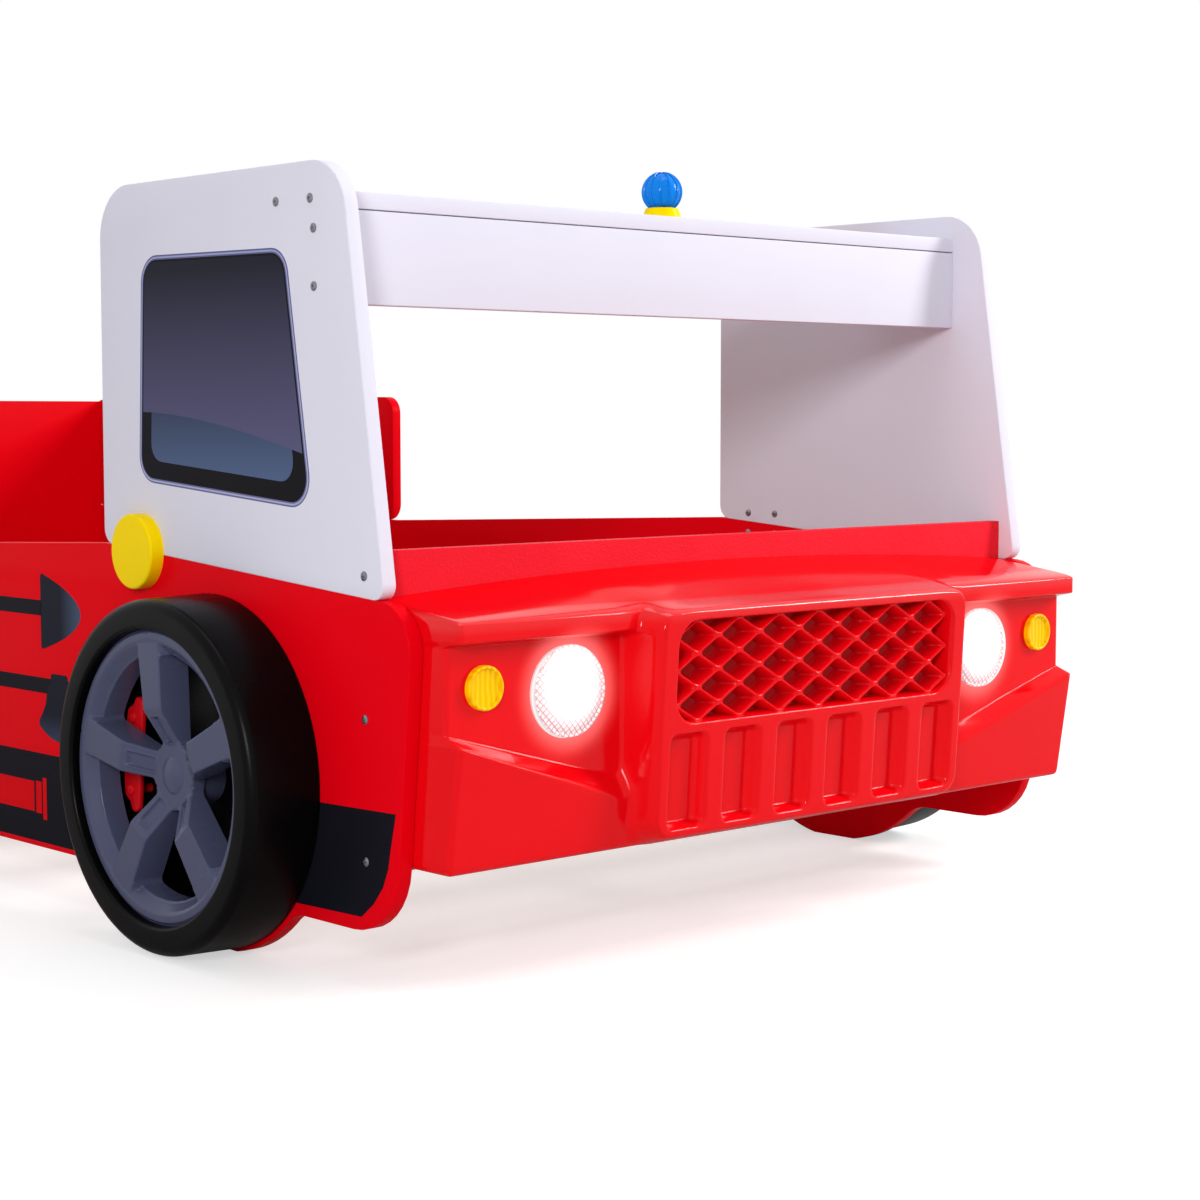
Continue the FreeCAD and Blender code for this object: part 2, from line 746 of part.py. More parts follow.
def fascia():
    """A thin moulded front: hood, lip, lamp recesses, bumper and the grille block with lattice and slots."""
    shell = doc.addObject("PartDesign::Body", "fascia_shell")
    hood_rear = sketch_on(shell, "hood_rear", "XZ_Plane", "-bed_front")
    arched(hood_rear, "fascia_half", "fascia_bottom", "hood_side", "hood_crown")
    hood_front = sketch_on(shell, "hood_front", "XZ_Plane", "-lip_front")
    arched(hood_front, "fascia_half", "fascia_bottom", "lip_top", "lip_top + lip_rise")
    hood = shell.newObject("PartDesign::AdditiveLoft", "hood")
    hood.Profile = hood_rear
    hood.Sections = [hood_front]
    hood.Ruled = True

    lean = sketch_on(shell, "bumper_lean_cut", "YZ_Plane", "fascia_half + 1")
    outline(lean, [("lip_front - 1", "fascia_bottom - 1", None),
                   ("lip_front + bumper_lean", "fascia_bottom - 1", None),
                   ("lip_front", "recess_low + recess_rise", None),
                   ("lip_front - 1", "recess_low + recess_rise", None)])
    pocket(shell, lean, "2 * fascia_half + 2")

    recess = sketch_on(shell, "lamp_recess", "XZ_Plane", "-lip_front + 1")
    outline(recess, [("recess_inner", "recess_top", "recess_corner / 2"),
                     ("recess_inner", "recess_low", "recess_corner"),
                     ("fascia_half + 1", "recess_low + recess_rise", None),
                     ("fascia_half + 1", "recess_top", None)])
    outline(recess, [("-recess_inner", "recess_low", "recess_corner"),
                     ("-recess_inner", "recess_top", "recess_corner / 2"),
                     ("-fascia_half - 1", "recess_top", None),
                     ("-fascia_half - 1", "recess_low + recess_rise", None)])
    pocket(shell, recess, "lip_depth - recess_depth + 1")

    block = sketch_on(shell, "grille_block", "XZ_Plane", "-bed_front")
    rectangle(block, "-block_half", "block_bottom", "block_half", "block_top", "block_corner")
    pad(shell, block, "fascia_depth")
    block_lean = sketch_on(shell, "block_lean_cut", "YZ_Plane", "block_half + 1")
    outline(block_lean, [("fascia_front - 1", "block_bottom - 1", None),
                         ("fascia_front + block_lean", "block_bottom - 1", None),
                         ("fascia_front", "block_top", None),
                         ("fascia_front - 1", "block_top", None)])
    pocket(shell, block_lean, "2 * block_half + 2")
    nearest = number("fascia_front + block_lean + 1")
    round_edges(shell, "block_front_edge", "block_edge", lambda edge: edge.BoundBox.YMax < nearest)

    void_rear = sketch_on(shell, "void_rear", "XZ_Plane", "-bed_front")
    arched(void_rear, "fascia_half - fascia_wall", "fascia_bottom + fascia_wall",
           "hood_side - fascia_wall", "hood_crown - fascia_wall")
    void_front = sketch_on(shell, "void_front", "XZ_Plane", "void_depth - bed_front")
    arched(void_front, "fascia_half - fascia_wall", "fascia_bottom + fascia_wall", "void_side", "void_crown")
    void = shell.newObject("PartDesign::SubtractiveLoft", "void")
    void.Profile = void_rear
    void.Sections = [void_front]
    void.Ruled = True
    block_void = sketch_on(shell, "block_void", "XZ_Plane", "block_void_depth - bed_front")
    rectangle(block_void, "fascia_wall - block_half", "block_bottom + fascia_wall",
              "block_half - fascia_wall", "block_top - fascia_wall", "block_corner - fascia_wall")
    pocket(shell, block_void, "block_void_depth")

    opening = sketch_on(shell, "lattice_opening", "XZ_Plane", "1 - fascia_front")
    rectangle(opening, "-lattice_half", "lattice_bottom", "lattice_half", "lattice_top", "lattice_corner")
    pocket(shell, opening, "lattice_depth + 1")
    slots = sketch_on(shell, "slots", "XZ_Plane", "1 - fascia_front")
    for i in range(SIZES["slot_count"]):
        middle = f"({i} - (slot_count - 1) / 2) * slot_pitch"
        rectangle(slots, f"{middle} - slot_width / 2", "slot_bottom",
                  f"{middle} + slot_width / 2", "slot_top", "slot_corner")
    pocket(shell, slots, "fascia_depth - slot_floor_depth + 1")

    holes = sketch_on(shell, "lamp_holes", "XZ_Plane", "1 - recess_face")
    for side in (-1, 1):
        circle(holes, f"{side} * lamp_x", "lamp_z", "cup_radius + cup_clearance")
        circle(holes, f"{side} * signal_x", "signal_z", "signal_peg + peg_clearance")
    pocket(shell, holes, "fascia_wall + 2")
    bosses = sketch_on(shell, "bosses", "XZ_Plane", "-bed_front")
    pilots = sketch_on(shell, "boss_pilots", "XZ_Plane", "boss_hole_depth - bed_front")
    for side in (-1, 1):
        for height in ("boss_low", "boss_high"):
            circle(bosses, f"{side} * boss_x", height, "boss_radius")
            circle(pilots, f"{side} * boss_x", height, "hole_radius")
    pad(shell, bosses, "void_depth + 1")
    pocket(shell, pilots, "boss_hole_depth")
    doc.recompute()

    ribs = doc.addObject("Part::Feature", "lattice_ribs")
    ribs.Shape = lattice()
    whole = doc.addObject("Part::Fuse", "fascia")
    whole.Label = "fascia"
    whole.Base = shell
    whole.Tool = ribs
    pieces.append(whole)


def lattice():
    """Two sets of slanting bars, trimmed to the grille opening with a little of each end in its frame."""
    half = number("lattice_half + 2")
    low, high = number("lattice_bottom - 2"), number("lattice_top + 2")
    front = number("fascia_front + lattice_sink + block_lean / 2")
    back = number("fascia_front + lattice_depth + 0.5")
    pitch_x, pitch_z, rib = number("lattice_pitch_x"), number("lattice_pitch_z"), number("lattice_rib")
    frame = Part.makeBox(2 * half, back - front, high - low, FreeCAD.Vector(-half, front, low))
    middle = FreeCAD.Vector(0, front, (low + high) / 2)
    slope = math.degrees(math.atan2(pitch_z, pitch_x))
    spacing = pitch_z * math.cos(math.radians(slope))
    reach = 2 * half + high - low
    count = int(reach / spacing / 2)
    bars = []
    for turn in (-1, 1):
        for i in range(-count, count + 1):
            corner = FreeCAD.Vector(-reach, 0, (i + 0.5) * spacing - rib / 2)
            bar = Part.makeBox(2 * reach, back - front, rib, corner)
            bar.rotate(FreeCAD.Vector(), FreeCAD.Vector(0, 1, 0), turn * slope)
            bar.translate(middle)
            bars.append(bar)
    trimmed = [bar for bar in (bar.common(frame) for bar in bars) if bar.Volume > 1]
    return trimmed[0].multiFuse(trimmed[1:]).removeSplitter()


# Lamps

def lamps(label, side):
    """A headlight of cup, light board and lens, and the turn signal beside it, facing the front."""
    cup = start(f"headlight_housing_{label}")
    section = sketch_on(cup, f"cup_section_{label}", "XY_Plane", "0")
    outline(section, [("-cup_depth", "0", None), ("cup_wall - cup_depth", "0", None),
                      ("cup_wall - cup_depth", "cup_radius - cup_wall", None),
                      ("cup_wall", "cup_radius - cup_wall", None), ("cup_wall", "lens_radius", None),
                      ("0", "lens_radius", None), ("0", "cup_radius", None),
                      ("-cup_depth", "cup_radius", None)])
    revolve(cup, section)
    turn_piece(cup, f"{side} * lamp_x", "recess_face", "lamp_z", -90)

    led = start(f"headlight_led_{label}")
    section = sketch_on(led, f"led_section_{label}", "XY_Plane", "0")
    outline(section, [("0", "0", None), ("led_thickness + led_dome", "0", None),
                      ("led_thickness + led_dome", "led_dome", "led_dome - 0.5"),
                      ("led_thickness", "led_dome", None), ("led_thickness", "led_radius", None),
                      ("0", "led_radius", None)])
    revolve(led, section)
    turn_piece(led, f"{side} * lamp_x", "recess_face + cup_depth - cup_wall", "lamp_z", -90)

    lens = start(f"headlight_lens_{label}")
    section = sketch_on(lens, f"lens_section_{label}", "XY_Plane", "0")
    outline(section, [("lens_depth - lens_wall", "0", None), ("lens_depth", "0", None),
                      ("lens_depth", "lens_radius", "lens_edge"), ("0", "lens_radius", None),
                      ("0", "lens_radius - lens_wall", None),
                      ("lens_depth - lens_wall", "lens_radius - lens_wall", "lens_edge - lens_wall")])
    revolve(lens, section)
    turn_piece(lens, f"{side} * lamp_x", "recess_face - cup_wall", "lamp_z", -90)

    signal = start(f"turn_signal_{label}")
    section = sketch_on(signal, f"signal_section_{label}", "XY_Plane", "0")
    outline(section, [("-signal_peg_length", "0", None), ("signal_depth", "0", None),
                      ("signal_depth", "signal_radius", "signal_edge"), ("0", "signal_radius", None),
                      ("0", "signal_peg", None), ("-signal_peg_length", "signal_peg", None)])
    revolve(signal, section)
    turn_piece(signal, f"{side} * signal_x", "recess_face", "signal_z", -90)


# Wheels

def wheel(label, side, end, axle):
    """A plastic wheel on the side panel: a tyre with a back, a rim with five spokes and a brake caliper."""
    name = f"{end}_{label}"
    stand = (f"{side} * outer_half", axle, "wheel_height", 0 if side > 0 else 180)

    tyre = start(f"tyre_{name}")
    section = sketch_on(tyre, f"tyre_section_{name}", "XY_Plane", "0")
    outline(section, [("0", "bolt_hole", None), ("backing_thickness", "bolt_hole", None),
                      ("backing_thickness", "bead_radius", None), ("tyre_width", "bead_radius", "bead_edge"),
                      ("tyre_width", "tyre_radius - tread_draft", "shoulder_radius"),
                      ("0", "tyre_radius", None), ("0", "tyre_radius - tyre_wall", None),
                      ("tyre_width - tyre_wall", "tyre_radius - tread_draft - tyre_wall",
                       "shoulder_radius - tyre_wall"),
                      ("tyre_width - tyre_wall", "bead_radius + tyre_wall", None),
                      ("0", "bead_radius + tyre_wall", None)])
    revolve(tyre, section)
    turn_piece(tyre, *stand)

    rim = start(f"rim_{name}")
    section = sketch_on(rim, f"rim_section_{name}", "XY_Plane", "0")
    outline(section, [("backing_thickness", "barrel_radius", None),
                      ("rim_face - rim_lip", "barrel_radius", None),
                      ("rim_face - rim_lip", "lip_inner", None), ("rim_face", "lip_inner", "lip_edge"),
                      ("rim_face", "rim_radius", "lip_edge"), ("backing_thickness", "rim_radius", None)])
    revolve(rim, section)
    spoke = sketch_on(rim, f"spoke_{name}", "YZ_Plane", "spoke_back")
    rectangle(spoke, "cap_radius / 2", "-spoke_width / 2", "lip_inner + rim_lip", "spoke_width / 2")
    spin_sketch(spoke, "spoke_turn")
    polar(rim, pad(rim, spoke, "spoke_depth"), "X_Axis", "spoke_count")
    hub = sketch_on(rim, f"hub_{name}", "XY_Plane", "0")
    outline(hub, [("backing_thickness", "0", None), ("spoke_face + cap_rise", "0", None),
                  ("spoke_face + cap_rise", "cap_radius", "cap_rise - 1"), ("spoke_face", "cap_radius", None),
                  ("spoke_face", "hub_radius", None), ("backing_thickness", "hub_radius", None)])
    revolve(rim, hub)
    dent = sketch_on(rim, f"spoke_pocket_{name}", "YZ_Plane", "spoke_face")
    rectangle(dent, "pocket_inner", "-pocket_width / 2", "pocket_outer", "pocket_width / 2", "pocket_corner")
    spin_sketch(dent, "spoke_turn")
    polar(rim, pocket(rim, dent, "pocket_depth"), "X_Axis", "spoke_count")
    bore = sketch_on(rim, f"hub_bore_{name}", "YZ_Plane", "bolt_reach")
    circle(bore, "0", "0", "bolt_hole")
    pocket(rim, bore, "bolt_reach - backing_thickness")
    turn_piece(rim, *stand)

    caliper = start(f"caliper_{name}")
    plate = sketch_on(caliper, f"caliper_plate_{name}", "YZ_Plane", "backing_thickness")
    span = "caliper_half_span * 1 deg"
    reach, rise = f"caliper_outer * cos({span})", f"caliper_outer * sin({span})"
    inner, low = f"caliper_inner * cos({span})", f"caliper_inner * sin({span})"
    outline(plate, [(inner, f"-{low}", "caliper_corner"), (reach, f"-{rise}", "caliper_corner"),
                    ("caliper_outer", "0", "caliper_corner * 4"), (reach, rise, "caliper_corner"),
                    (inner, low, "caliper_corner")])
    spin_sketch(plate, "caliper_turn")
    pad(caliper, plate, "caliper_height - caliper_bolt_height")
    heads = sketch_on(caliper, f"caliper_bolts_{name}", "YZ_Plane", "backing_thickness")
    middle = "(caliper_inner + caliper_outer) / 2"
    for turn in ("-", ""):
        circle(heads, f"{middle} * cos({span} * 0.6)", f"{turn}{middle} * sin({span} * 0.6)", "caliper_bolt")
    spin_sketch(heads, "caliper_turn")
    pad(caliper, heads, "caliper_height")
    turn_piece(caliper, *stand)


def spin_sketch(sketch, angle):
    """Turns a sketch in its own plane about the body's axis."""
    offset = sketch.AttachmentOffset
    sketch.AttachmentOffset = FreeCAD.Placement(offset.Base, FreeCAD.Rotation(UP, number(angle)))
    bind(sketch, "AttachmentOffset.Rotation.Angle", angle)


# Connecting discs and beacon

def connecting_disc(label, side):
    """A thick round plate that ties the cab panel to the side panel from outside."""
    disc = start(f"connecting_disc_{label}")
    section = sketch_on(disc, f"disc_section_{label}", "XY_Plane", "0")
    outline(section, [("0", "0", None), ("disc_thickness", "0", None),
                      ("disc_thickness", "disc_radius", "disc_edge"), ("0", "disc_radius", None)])
    revolve(disc, section)
    holes = sketch_on(disc, f"disc_holes_{label}", "YZ_Plane", "disc_hole_depth")
    for a in "+-":
        for b in "+-":
            circle(holes, f"{a}disc_screw_x / 2", f"{b}disc_screw_z / 2", "hole_radius")
    pocket(disc, holes, "disc_hole_depth")
    turn_piece(disc, f"{side} * outer_half", "disc_y", "disc_z", 0 if side > 0 else 180)


def beacon():
    """A ribbed ball on a flared foot, in the middle of the roof shelf."""
    foot = start("beacon_base")
    section = sketch_on(foot, "beacon_foot", "XY_Plane", "0")
    outline(section, [("0", "0", None), ("beacon_base_height", "0", None),
                      ("beacon_base_height", "beacon_neck_radius", "1"),
                      ("beacon_base_height / 3", "beacon_neck_radius", None),
                      ("beacon_base_height / 5", "beacon_base_radius", None),
                      ("0", "beacon_base_radius", None)])
    revolve(foot, section)
    ball = start("beacon_dome")
    section = sketch_on(ball, "beacon_ball", "XY_Plane", "0")
    seat = "sqrt(beacon_radius ^ 2 - beacon_sink ^ 2)"
    ball_arc(section, "beacon_radius", "-beacon_sink", seat)
    revolve(ball, section)
    rib = sketch_on(ball, "beacon_rib_profile", "XY_Plane", "-beacon_rib / 2")
    rib_arc = "sqrt((beacon_radius + beacon_rib_height) ^ 2 - (beacon_sink - 3) ^ 2)"
    ball_arc(rib, "beacon_radius + beacon_rib_height", "3 - beacon_sink", rib_arc)
    polar(ball, pad(ball, rib, "beacon_rib"), "X_Axis", "beacon_rib_count")
    upright = FreeCAD.Rotation(FreeCAD.Vector(0, 1, 0), -90)
    turn = FreeCAD.Rotation(UP, number("beacon_turn")) * upright
    for thing, height in ((foot, "shelf_top"), (ball, "beacon_centre")):
        thing.Placement = FreeCAD.Placement(FreeCAD.Vector(), turn)
        bind(thing, "Placement.Base.y", "beacon_y")
        bind(thing, "Placement.Base.z", height)


def ball_arc(sketch, radius, cut, half):
    """The half section of a ball about the X axis, cut flat at one x where it has this half width."""
    size, low, reach = number(radius), number(cut), number(half)
    turn = math.atan2(reach, low)
    arc = sketch.addGeometry(Part.ArcOfCircle(Part.Circle(FreeCAD.Vector(), UP, size), 0, turn))
    flat = sketch.addGeometry(Part.LineSegment(FreeCAD.Vector(low, reach, 0), FreeCAD.Vector(low, 0, 0)))
    base = sketch.addGeometry(Part.LineSegment(FreeCAD.Vector(low, 0, 0), FreeCAD.Vector(size, 0, 0)))
    for one, two in ((arc, flat), (flat, base), (base, arc)):
        sketch.addConstraint(Sketcher.Constraint("Coincident", one, 2, two, 1))
    sketch.addConstraint(Sketcher.Constraint("Coincident", arc, 3, -1, 1))
    sketch.addConstraint(Sketcher.Constraint("PointOnObject", arc, 1, -1))
    sketch.addConstraint(Sketcher.Constraint("PointOnObject", flat, 2, -1))
    sketch.addConstraint(Sketcher.Constraint("Vertical", flat))
    tie(sketch, "Radius", radius, arc)
    tie(sketch, "DistanceX", cut, -1, 1, flat, 2)


# Slatted base

def slatted_base():
    """Rails on the side panels, a middle beam on two legs, and the slats across them."""
    for label, side in SIDES:
        rail = start(f"slat_rail_{label}")
        low = "-inner_half" if side < 0 else "inner_half - rail_width"
        section = sketch_on(rail, f"rail_section_{label}", "YZ_Plane", low)
        rectangle(section, "well_front", "slat_bottom - rail_height", "well_rear", "slat_bottom")
        pad(rail, section, "rail_width")
        drill(rail, f"rail_holes_{label}", f"{low} + rail_width", RAIL_SCREWS, "hole_radius", "rail_width")
    box("centre_beam", "-beam_width / 2", "well_front", "beam_bottom",
        "beam_width", "inner_length", "beam_height")
    for label, middle in (("front", "well_front + leg_inset"), ("rear", "well_rear - leg_inset")):
        box(f"leg_{label}", "-leg_width / 2", f"{middle} - leg_width / 2", "0",
            "leg_width", "leg_width", "beam_bottom")
    for i in range(SIZES["slat_count"]):
        middle = f"well_front + inner_length / slat_count * {i + 0.5}"
        box(f"slat_{i + 1:02d}", "-slat_half", f"{middle} - slat_width / 2", "slat_bottom",
            "2 * slat_half", "slat_width", "slat_thickness")


# Battery box and switch

def battery_box():
    """The box that feeds the headlights, low behind the front board, with a sliding switch in its lid."""
    tray = start("battery_box")
    walls = sketch_on(tray, "battery_walls", "XZ_Plane", "-battery_rear")
    rectangle(walls, "battery_x", "battery_z", "battery_x + battery_width", "battery_z + battery_height",
              "battery_corner")
    pad(tray, walls, "battery_depth")
    room = sketch_on(tray, "battery_room", "XZ_Plane", "-well_front - battery_wall")
    rectangle(room, "battery_x + battery_wall", "battery_z + battery_wall",
              "battery_x + battery_width - battery_wall", "battery_z + battery_height - battery_wall")
    pocket(tray, room, "battery_depth")

    lid = start("battery_lid")
    plate = sketch_on(lid, "lid_plate", "XZ_Plane", "-lid_rear")
    rectangle(plate, "battery_x", "battery_z", "battery_x + battery_width", "battery_z + battery_height",
              "battery_corner")
    pad(lid, plate, "battery_wall")
    slot = sketch_on(lid, "switch_slot", "XZ_Plane", "-battery_rear")
    half_neck = "knob_neck_height / 2"
    rectangle(slot, "knob_left - knob_clearance", f"switch_z - {half_neck} - knob_clearance",
              "knob_right + switch_travel + knob_clearance", f"switch_z + {half_neck} + knob_clearance")
    pocket(lid, slot, "battery_wall")

    knob = start("switch_knob")
    neck = sketch_on(knob, "knob_neck", "XZ_Plane", "-lid_rear - knob_clearance - knob_thumb")
    rectangle(neck, "knob_left", f"switch_z - {half_neck}", "knob_right", f"switch_z + {half_neck}")
    pad(knob, neck, "knob_thumb + battery_wall + 2 * knob_clearance + knob_flange")
    for name, rear, depth in (("knob_grip", "lid_rear + knob_clearance + knob_thumb", "knob_thumb"),
                              ("knob_foot", "battery_rear - knob_clearance", "knob_flange")):
        plate = sketch_on(knob, name, "XZ_Plane", f"-({rear})")
        rectangle(plate, "knob_left - knob_overlap", f"switch_z - {half_neck} - knob_overlap",
                  "knob_right + knob_overlap", f"switch_z + {half_neck} + knob_overlap")
        pad(knob, plate, depth)

    cells = []
    y = number("well_front + battery_wall + cell_radius + cell_clearance")
    for row in (-1, 0, 1):
        z = number(f"switch_z + {row} * (2 * cell_radius + cell_clearance)")
        left = FreeCAD.Vector(number("battery_x + (battery_width - cell_length) / 2"), y, z)
        cells.append(Part.makeCylinder(number("cell_radius"), number("cell_length"), left, ALONG))
    group("battery_cells", cells)


# Fasteners

def headed(radius, length, head_radius, head_height, place, towards):
    """A shank from this place along a direction, with a round head on the other side of the place."""
    height = number(head_height)
    shank = Part.makeCylinder(number(radius), number(length), place, towards)
    head = Part.makeCylinder(number(head_radius), height, place - towards * height, towards)
    return head.fuse(shank).removeSplitter()


def fasteners():
    """Screws, bolts and dowels, each kind as one group of like solids."""
    screws, disc_screws, bolts, dowels, fascia_screws = [], [], [], [], []
    wood_screw = ("screw_radius", "screw_length", "head_radius", "head_height")
    for label, side in SIDES:
        inward = ALONG * -side
        outer, inner = side * number("outer_half"), side * number("inner_half")
        rail_face = side * number("inner_half - rail_width")
        for y, z in SHELF_SCREWS + ROOF_SCREWS + TOE_SCREWS + NOSE_SCREWS + TAIL_SCREWS + GUARD_SCREWS:
            screws.append(headed(*wood_screw, FreeCAD.Vector(outer, number(y), number(z)), inward))
        for y, z in RAIL_SCREWS:
            screws.append(headed(*wood_screw, FreeCAD.Vector(rail_face, number(y), number(z)), -inward))
        for y, z in DISC_SCREWS:
            place = FreeCAD.Vector(inner, number(y), number(z))
            disc_screws.append(headed("screw_radius", "disc_screw_length", "head_radius", "head_height",
                                      place, -inward))
        for end, axle in AXLES:
            place = FreeCAD.Vector(inner, number(axle), number("wheel_height"))
            bolts.append(headed("bolt_radius", "bolt_length", "bolt_head_radius", "bolt_head_height",
                                place, -inward))
        for y in DOWELS:
            middle = FreeCAD.Vector(side * number("inner_half + board / 2"), number(y), number("deck"))
            foot = middle - UP * number("dowel_length / 2")
            dowels.append(Part.makeCylinder(number("dowel_radius"), number("dowel_length"), foot))
        for height in ("boss_low", "boss_high"):
            place = FreeCAD.Vector(side * number("boss_x"), number("well_front"), number(height))
            fascia_screws.append(headed("screw_radius", "fascia_screw_length", "head_radius", "head_height",
                                        place, FreeCAD.Vector(0, -1, 0)))
    group("panel_screws", screws)
    group("disc_screws", disc_screws)
    group("wheel_bolts", bolts)
    group("guard_dowels", dowels)
    group("fascia_screws", fascia_screws)


# The whole bed

def check():
    """Stops the build if any step failed or any piece is not a sound solid."""
    for thing in doc.Objects:
        if "Invalid" in thing.State or "Error" in thing.State:
            raise ValueError(f"{thing.Name} did not build: {thing.State}")
    for piece in pieces:
        if piece.Shape.isNull() or not piece.Shape.isValid() or not piece.Shape.Solids:
            raise ValueError(f"{piece.Label} is not a sound solid")


def write():
    """One file for each piece."""
    os.makedirs("parts", exist_ok=True)
    for old in os.listdir("parts"):
        os.remove(os.path.join("parts", old))
    for piece in pieces:
        piece.Shape.exportStep(f"parts/{piece.Label}.step")


fill_sheet()
for label, side in SIDES:
    side_panel(label, side)
    cab_panel(label, side)
    guard(label, side)
    lamps(label, side)
    connecting_disc(label, side)
    for end, axle in AXLES:
        wheel(label, side, end, axle)
cross_boards()
fascia()
beacon()
slatted_base()
battery_box()
fasteners()
doc.recompute()
check()
write()
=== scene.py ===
# The looks of a child's bed in the shape of a fire engine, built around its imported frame.
# Shapes are worked out in millimetres in the part's own frame, and become metres in each mesh.
import math

import bmesh
import bpy
import numpy as np
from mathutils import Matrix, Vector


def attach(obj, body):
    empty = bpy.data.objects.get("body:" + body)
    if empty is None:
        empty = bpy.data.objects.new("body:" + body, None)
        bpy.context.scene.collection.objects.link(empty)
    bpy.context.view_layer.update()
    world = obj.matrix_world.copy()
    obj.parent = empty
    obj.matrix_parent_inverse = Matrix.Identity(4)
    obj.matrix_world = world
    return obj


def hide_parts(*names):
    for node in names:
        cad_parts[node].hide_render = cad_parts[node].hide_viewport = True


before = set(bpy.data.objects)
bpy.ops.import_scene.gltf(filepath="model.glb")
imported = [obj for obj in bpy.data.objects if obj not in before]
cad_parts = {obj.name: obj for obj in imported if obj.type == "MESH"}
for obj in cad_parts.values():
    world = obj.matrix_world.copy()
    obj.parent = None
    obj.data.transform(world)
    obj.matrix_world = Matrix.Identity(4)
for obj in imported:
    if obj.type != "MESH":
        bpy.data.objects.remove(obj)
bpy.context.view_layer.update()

MM = 0.001
SIDES = (("left", -1), ("right", 1))
AXLES = (("front", -705), ("rear", 800))

# Boards, battens and wheels, in millimetres
BOARD_IN, BOARD_OUT, BOARD, ARRIS = 458, 474, 16, 1.2
BED_FRONT, WELL_FRONT, WELL_REAR, BED_REAR = -962, -946, 1064, 1100
APEX, DECK, SILL = 400, 373, 54
NOSE_FOOT, NOSE_TIP, NOSE_TOP = -997, -1025, 361.3
CROSS_FOOT, NOSE_BOARD_TOP, HEAD_BOARD_TOP = 108, 410, 560
GUARD_FRONT, GUARD_REAR, GUARD_TOP = 205, 1082, 563
CAB_TOE, CAB_FOOT, CAB_REAR, CAB_BROW, CAB_TOP = -984, 364, -500, -922, 772
ROOF_FRONT, ROOF_BOTTOM, SHELF_BOTTOM, SHELF_TOP, SHELF_REAR = -888, 639, 729, 745, -778
RAIL_WIDTH, RAIL_BOTTOM, BEAM_HALF, BEAM_BOTTOM, SLAT_SEAT = 32, 128, 20, 123, 168
LEG_HALF, LEG_INSET = 22, 550
SLATS, SLAT_PITCH, SLAT_REACH, SLAT_HALF = 10, 201, 452, 40
WHEEL_HEIGHT, FOOT_RADIUS, FOOT_BLEND = 179, 182, 45
DISC_Y, DISC_Z = -576, 394.35
BEACON_Y, BEACON_Z = -859, 773

# The fascia: half-widths, heights above the floor and depths in front of the front board
FASCIA_HALF, FASCIA_FOOT, CROWN, CROWN_FALL, LIP = 457.5, 117, 384, 18, 355
BAY_DEPTH, BAY_TOP, BAY_INNER, LEDGE_INNER = 88, 331, 230, 240
BLOCK_FRONT, BLOCK_HALF, BLOCK_FOOT, BLOCK_TOP = 137.5, 236, 118, 358
OPENING_DEPTH, OPENING_HALF, OPENING_FOOT, OPENING_TOP = 98, 206, 239, 338
SLOTS, SLOT_PITCH, SLOT_HALF, SLOT_FOOT, SLOT_TOP, SLOT_SINK = 6, 75, 25, 135, 229, 13
LATTICE_FRONT, LATTICE_SINK, CELL_WIDTH, CELL_HEIGHT = 128, 25, 58, 33
LAMP_X, LAMP_Z, LAMP_RADIUS = 307, 276, 44
SIGNAL_X, SIGNAL_Z, SIGNAL_RADIUS = 413, 287, 21


# Outlines and skins

def arc(centre, radius, start, end, count=14):
    """Points on a circle from one angle to another, in degrees."""
    turn = np.radians(np.linspace(start, end, count))
    return np.column_stack([centre[0] + radius * np.cos(turn), centre[1] + radius * np.sin(turn)])


def rounded(corners, steps=9):
    """A closed outline through (u, v, radius) corners: each becomes an arc tangent to its two sides."""
    spots = np.array([corner[:2] for corner in corners], float)
    runs = []
    for i, (u, v, radius) in enumerate(corners):
        back = spots[i - 1] - spots[i]
        ahead = spots[(i + 1) % len(spots)] - spots[i]
        back /= np.linalg.norm(back)
        ahead /= np.linalg.norm(ahead)
        if not radius:
            runs.append(spots[i:i + 1])
            continue
        half = math.acos(np.clip(back @ ahead, -1, 1)) / 2
        middle = (back + ahead) / np.linalg.norm(back + ahead)
        centre = spots[i] + middle * radius / math.sin(half)
        start = spots[i] + back * radius / math.tan(half) - centre
        end = spots[i] + ahead * radius / math.tan(half) - centre
        turn = math.pi - 2 * half
        t = np.linspace(0, 1, steps)[:, None]
        runs.append(centre + (np.sin((1 - t) * turn) * start + np.sin(t * turn) * end) / math.sin(turn))
    return np.concatenate(runs)


def spaced(outline, count):
    """A closed outline drawn again with this many points, equally far apart along it."""
    loop = np.vstack([outline, outline[:1]])
    along = np.concatenate([[0], np.cumsum(np.linalg.norm(np.diff(loop, axis=0), axis=1))])
    at = np.linspace(0, along[-1], count, endpoint=False)
    return np.column_stack([np.interp(at, along, loop[:, 0]), np.interp(at, along, loop[:, 1])])


def inset(outline, by):
    """An anticlockwise outline moved inwards, each point along the mitre of its two sides."""
    side = np.roll(outline, -1, 0) - outline
    side /= np.linalg.norm(side, axis=1, keepdims=True)
    out = np.column_stack([side[:, 1], -side[:, 0]])
    before = np.roll(out, 1, 0)
    return outline - by * (out + before) / (1 + (out * before).sum(1, keepdims=True))


# Which of (u, v, w) goes to X, Y and Z when w runs along an axis
ORDER = {"x": [2, 0, 1], "y": [0, 2, 1], "z": [0, 1, 2]}


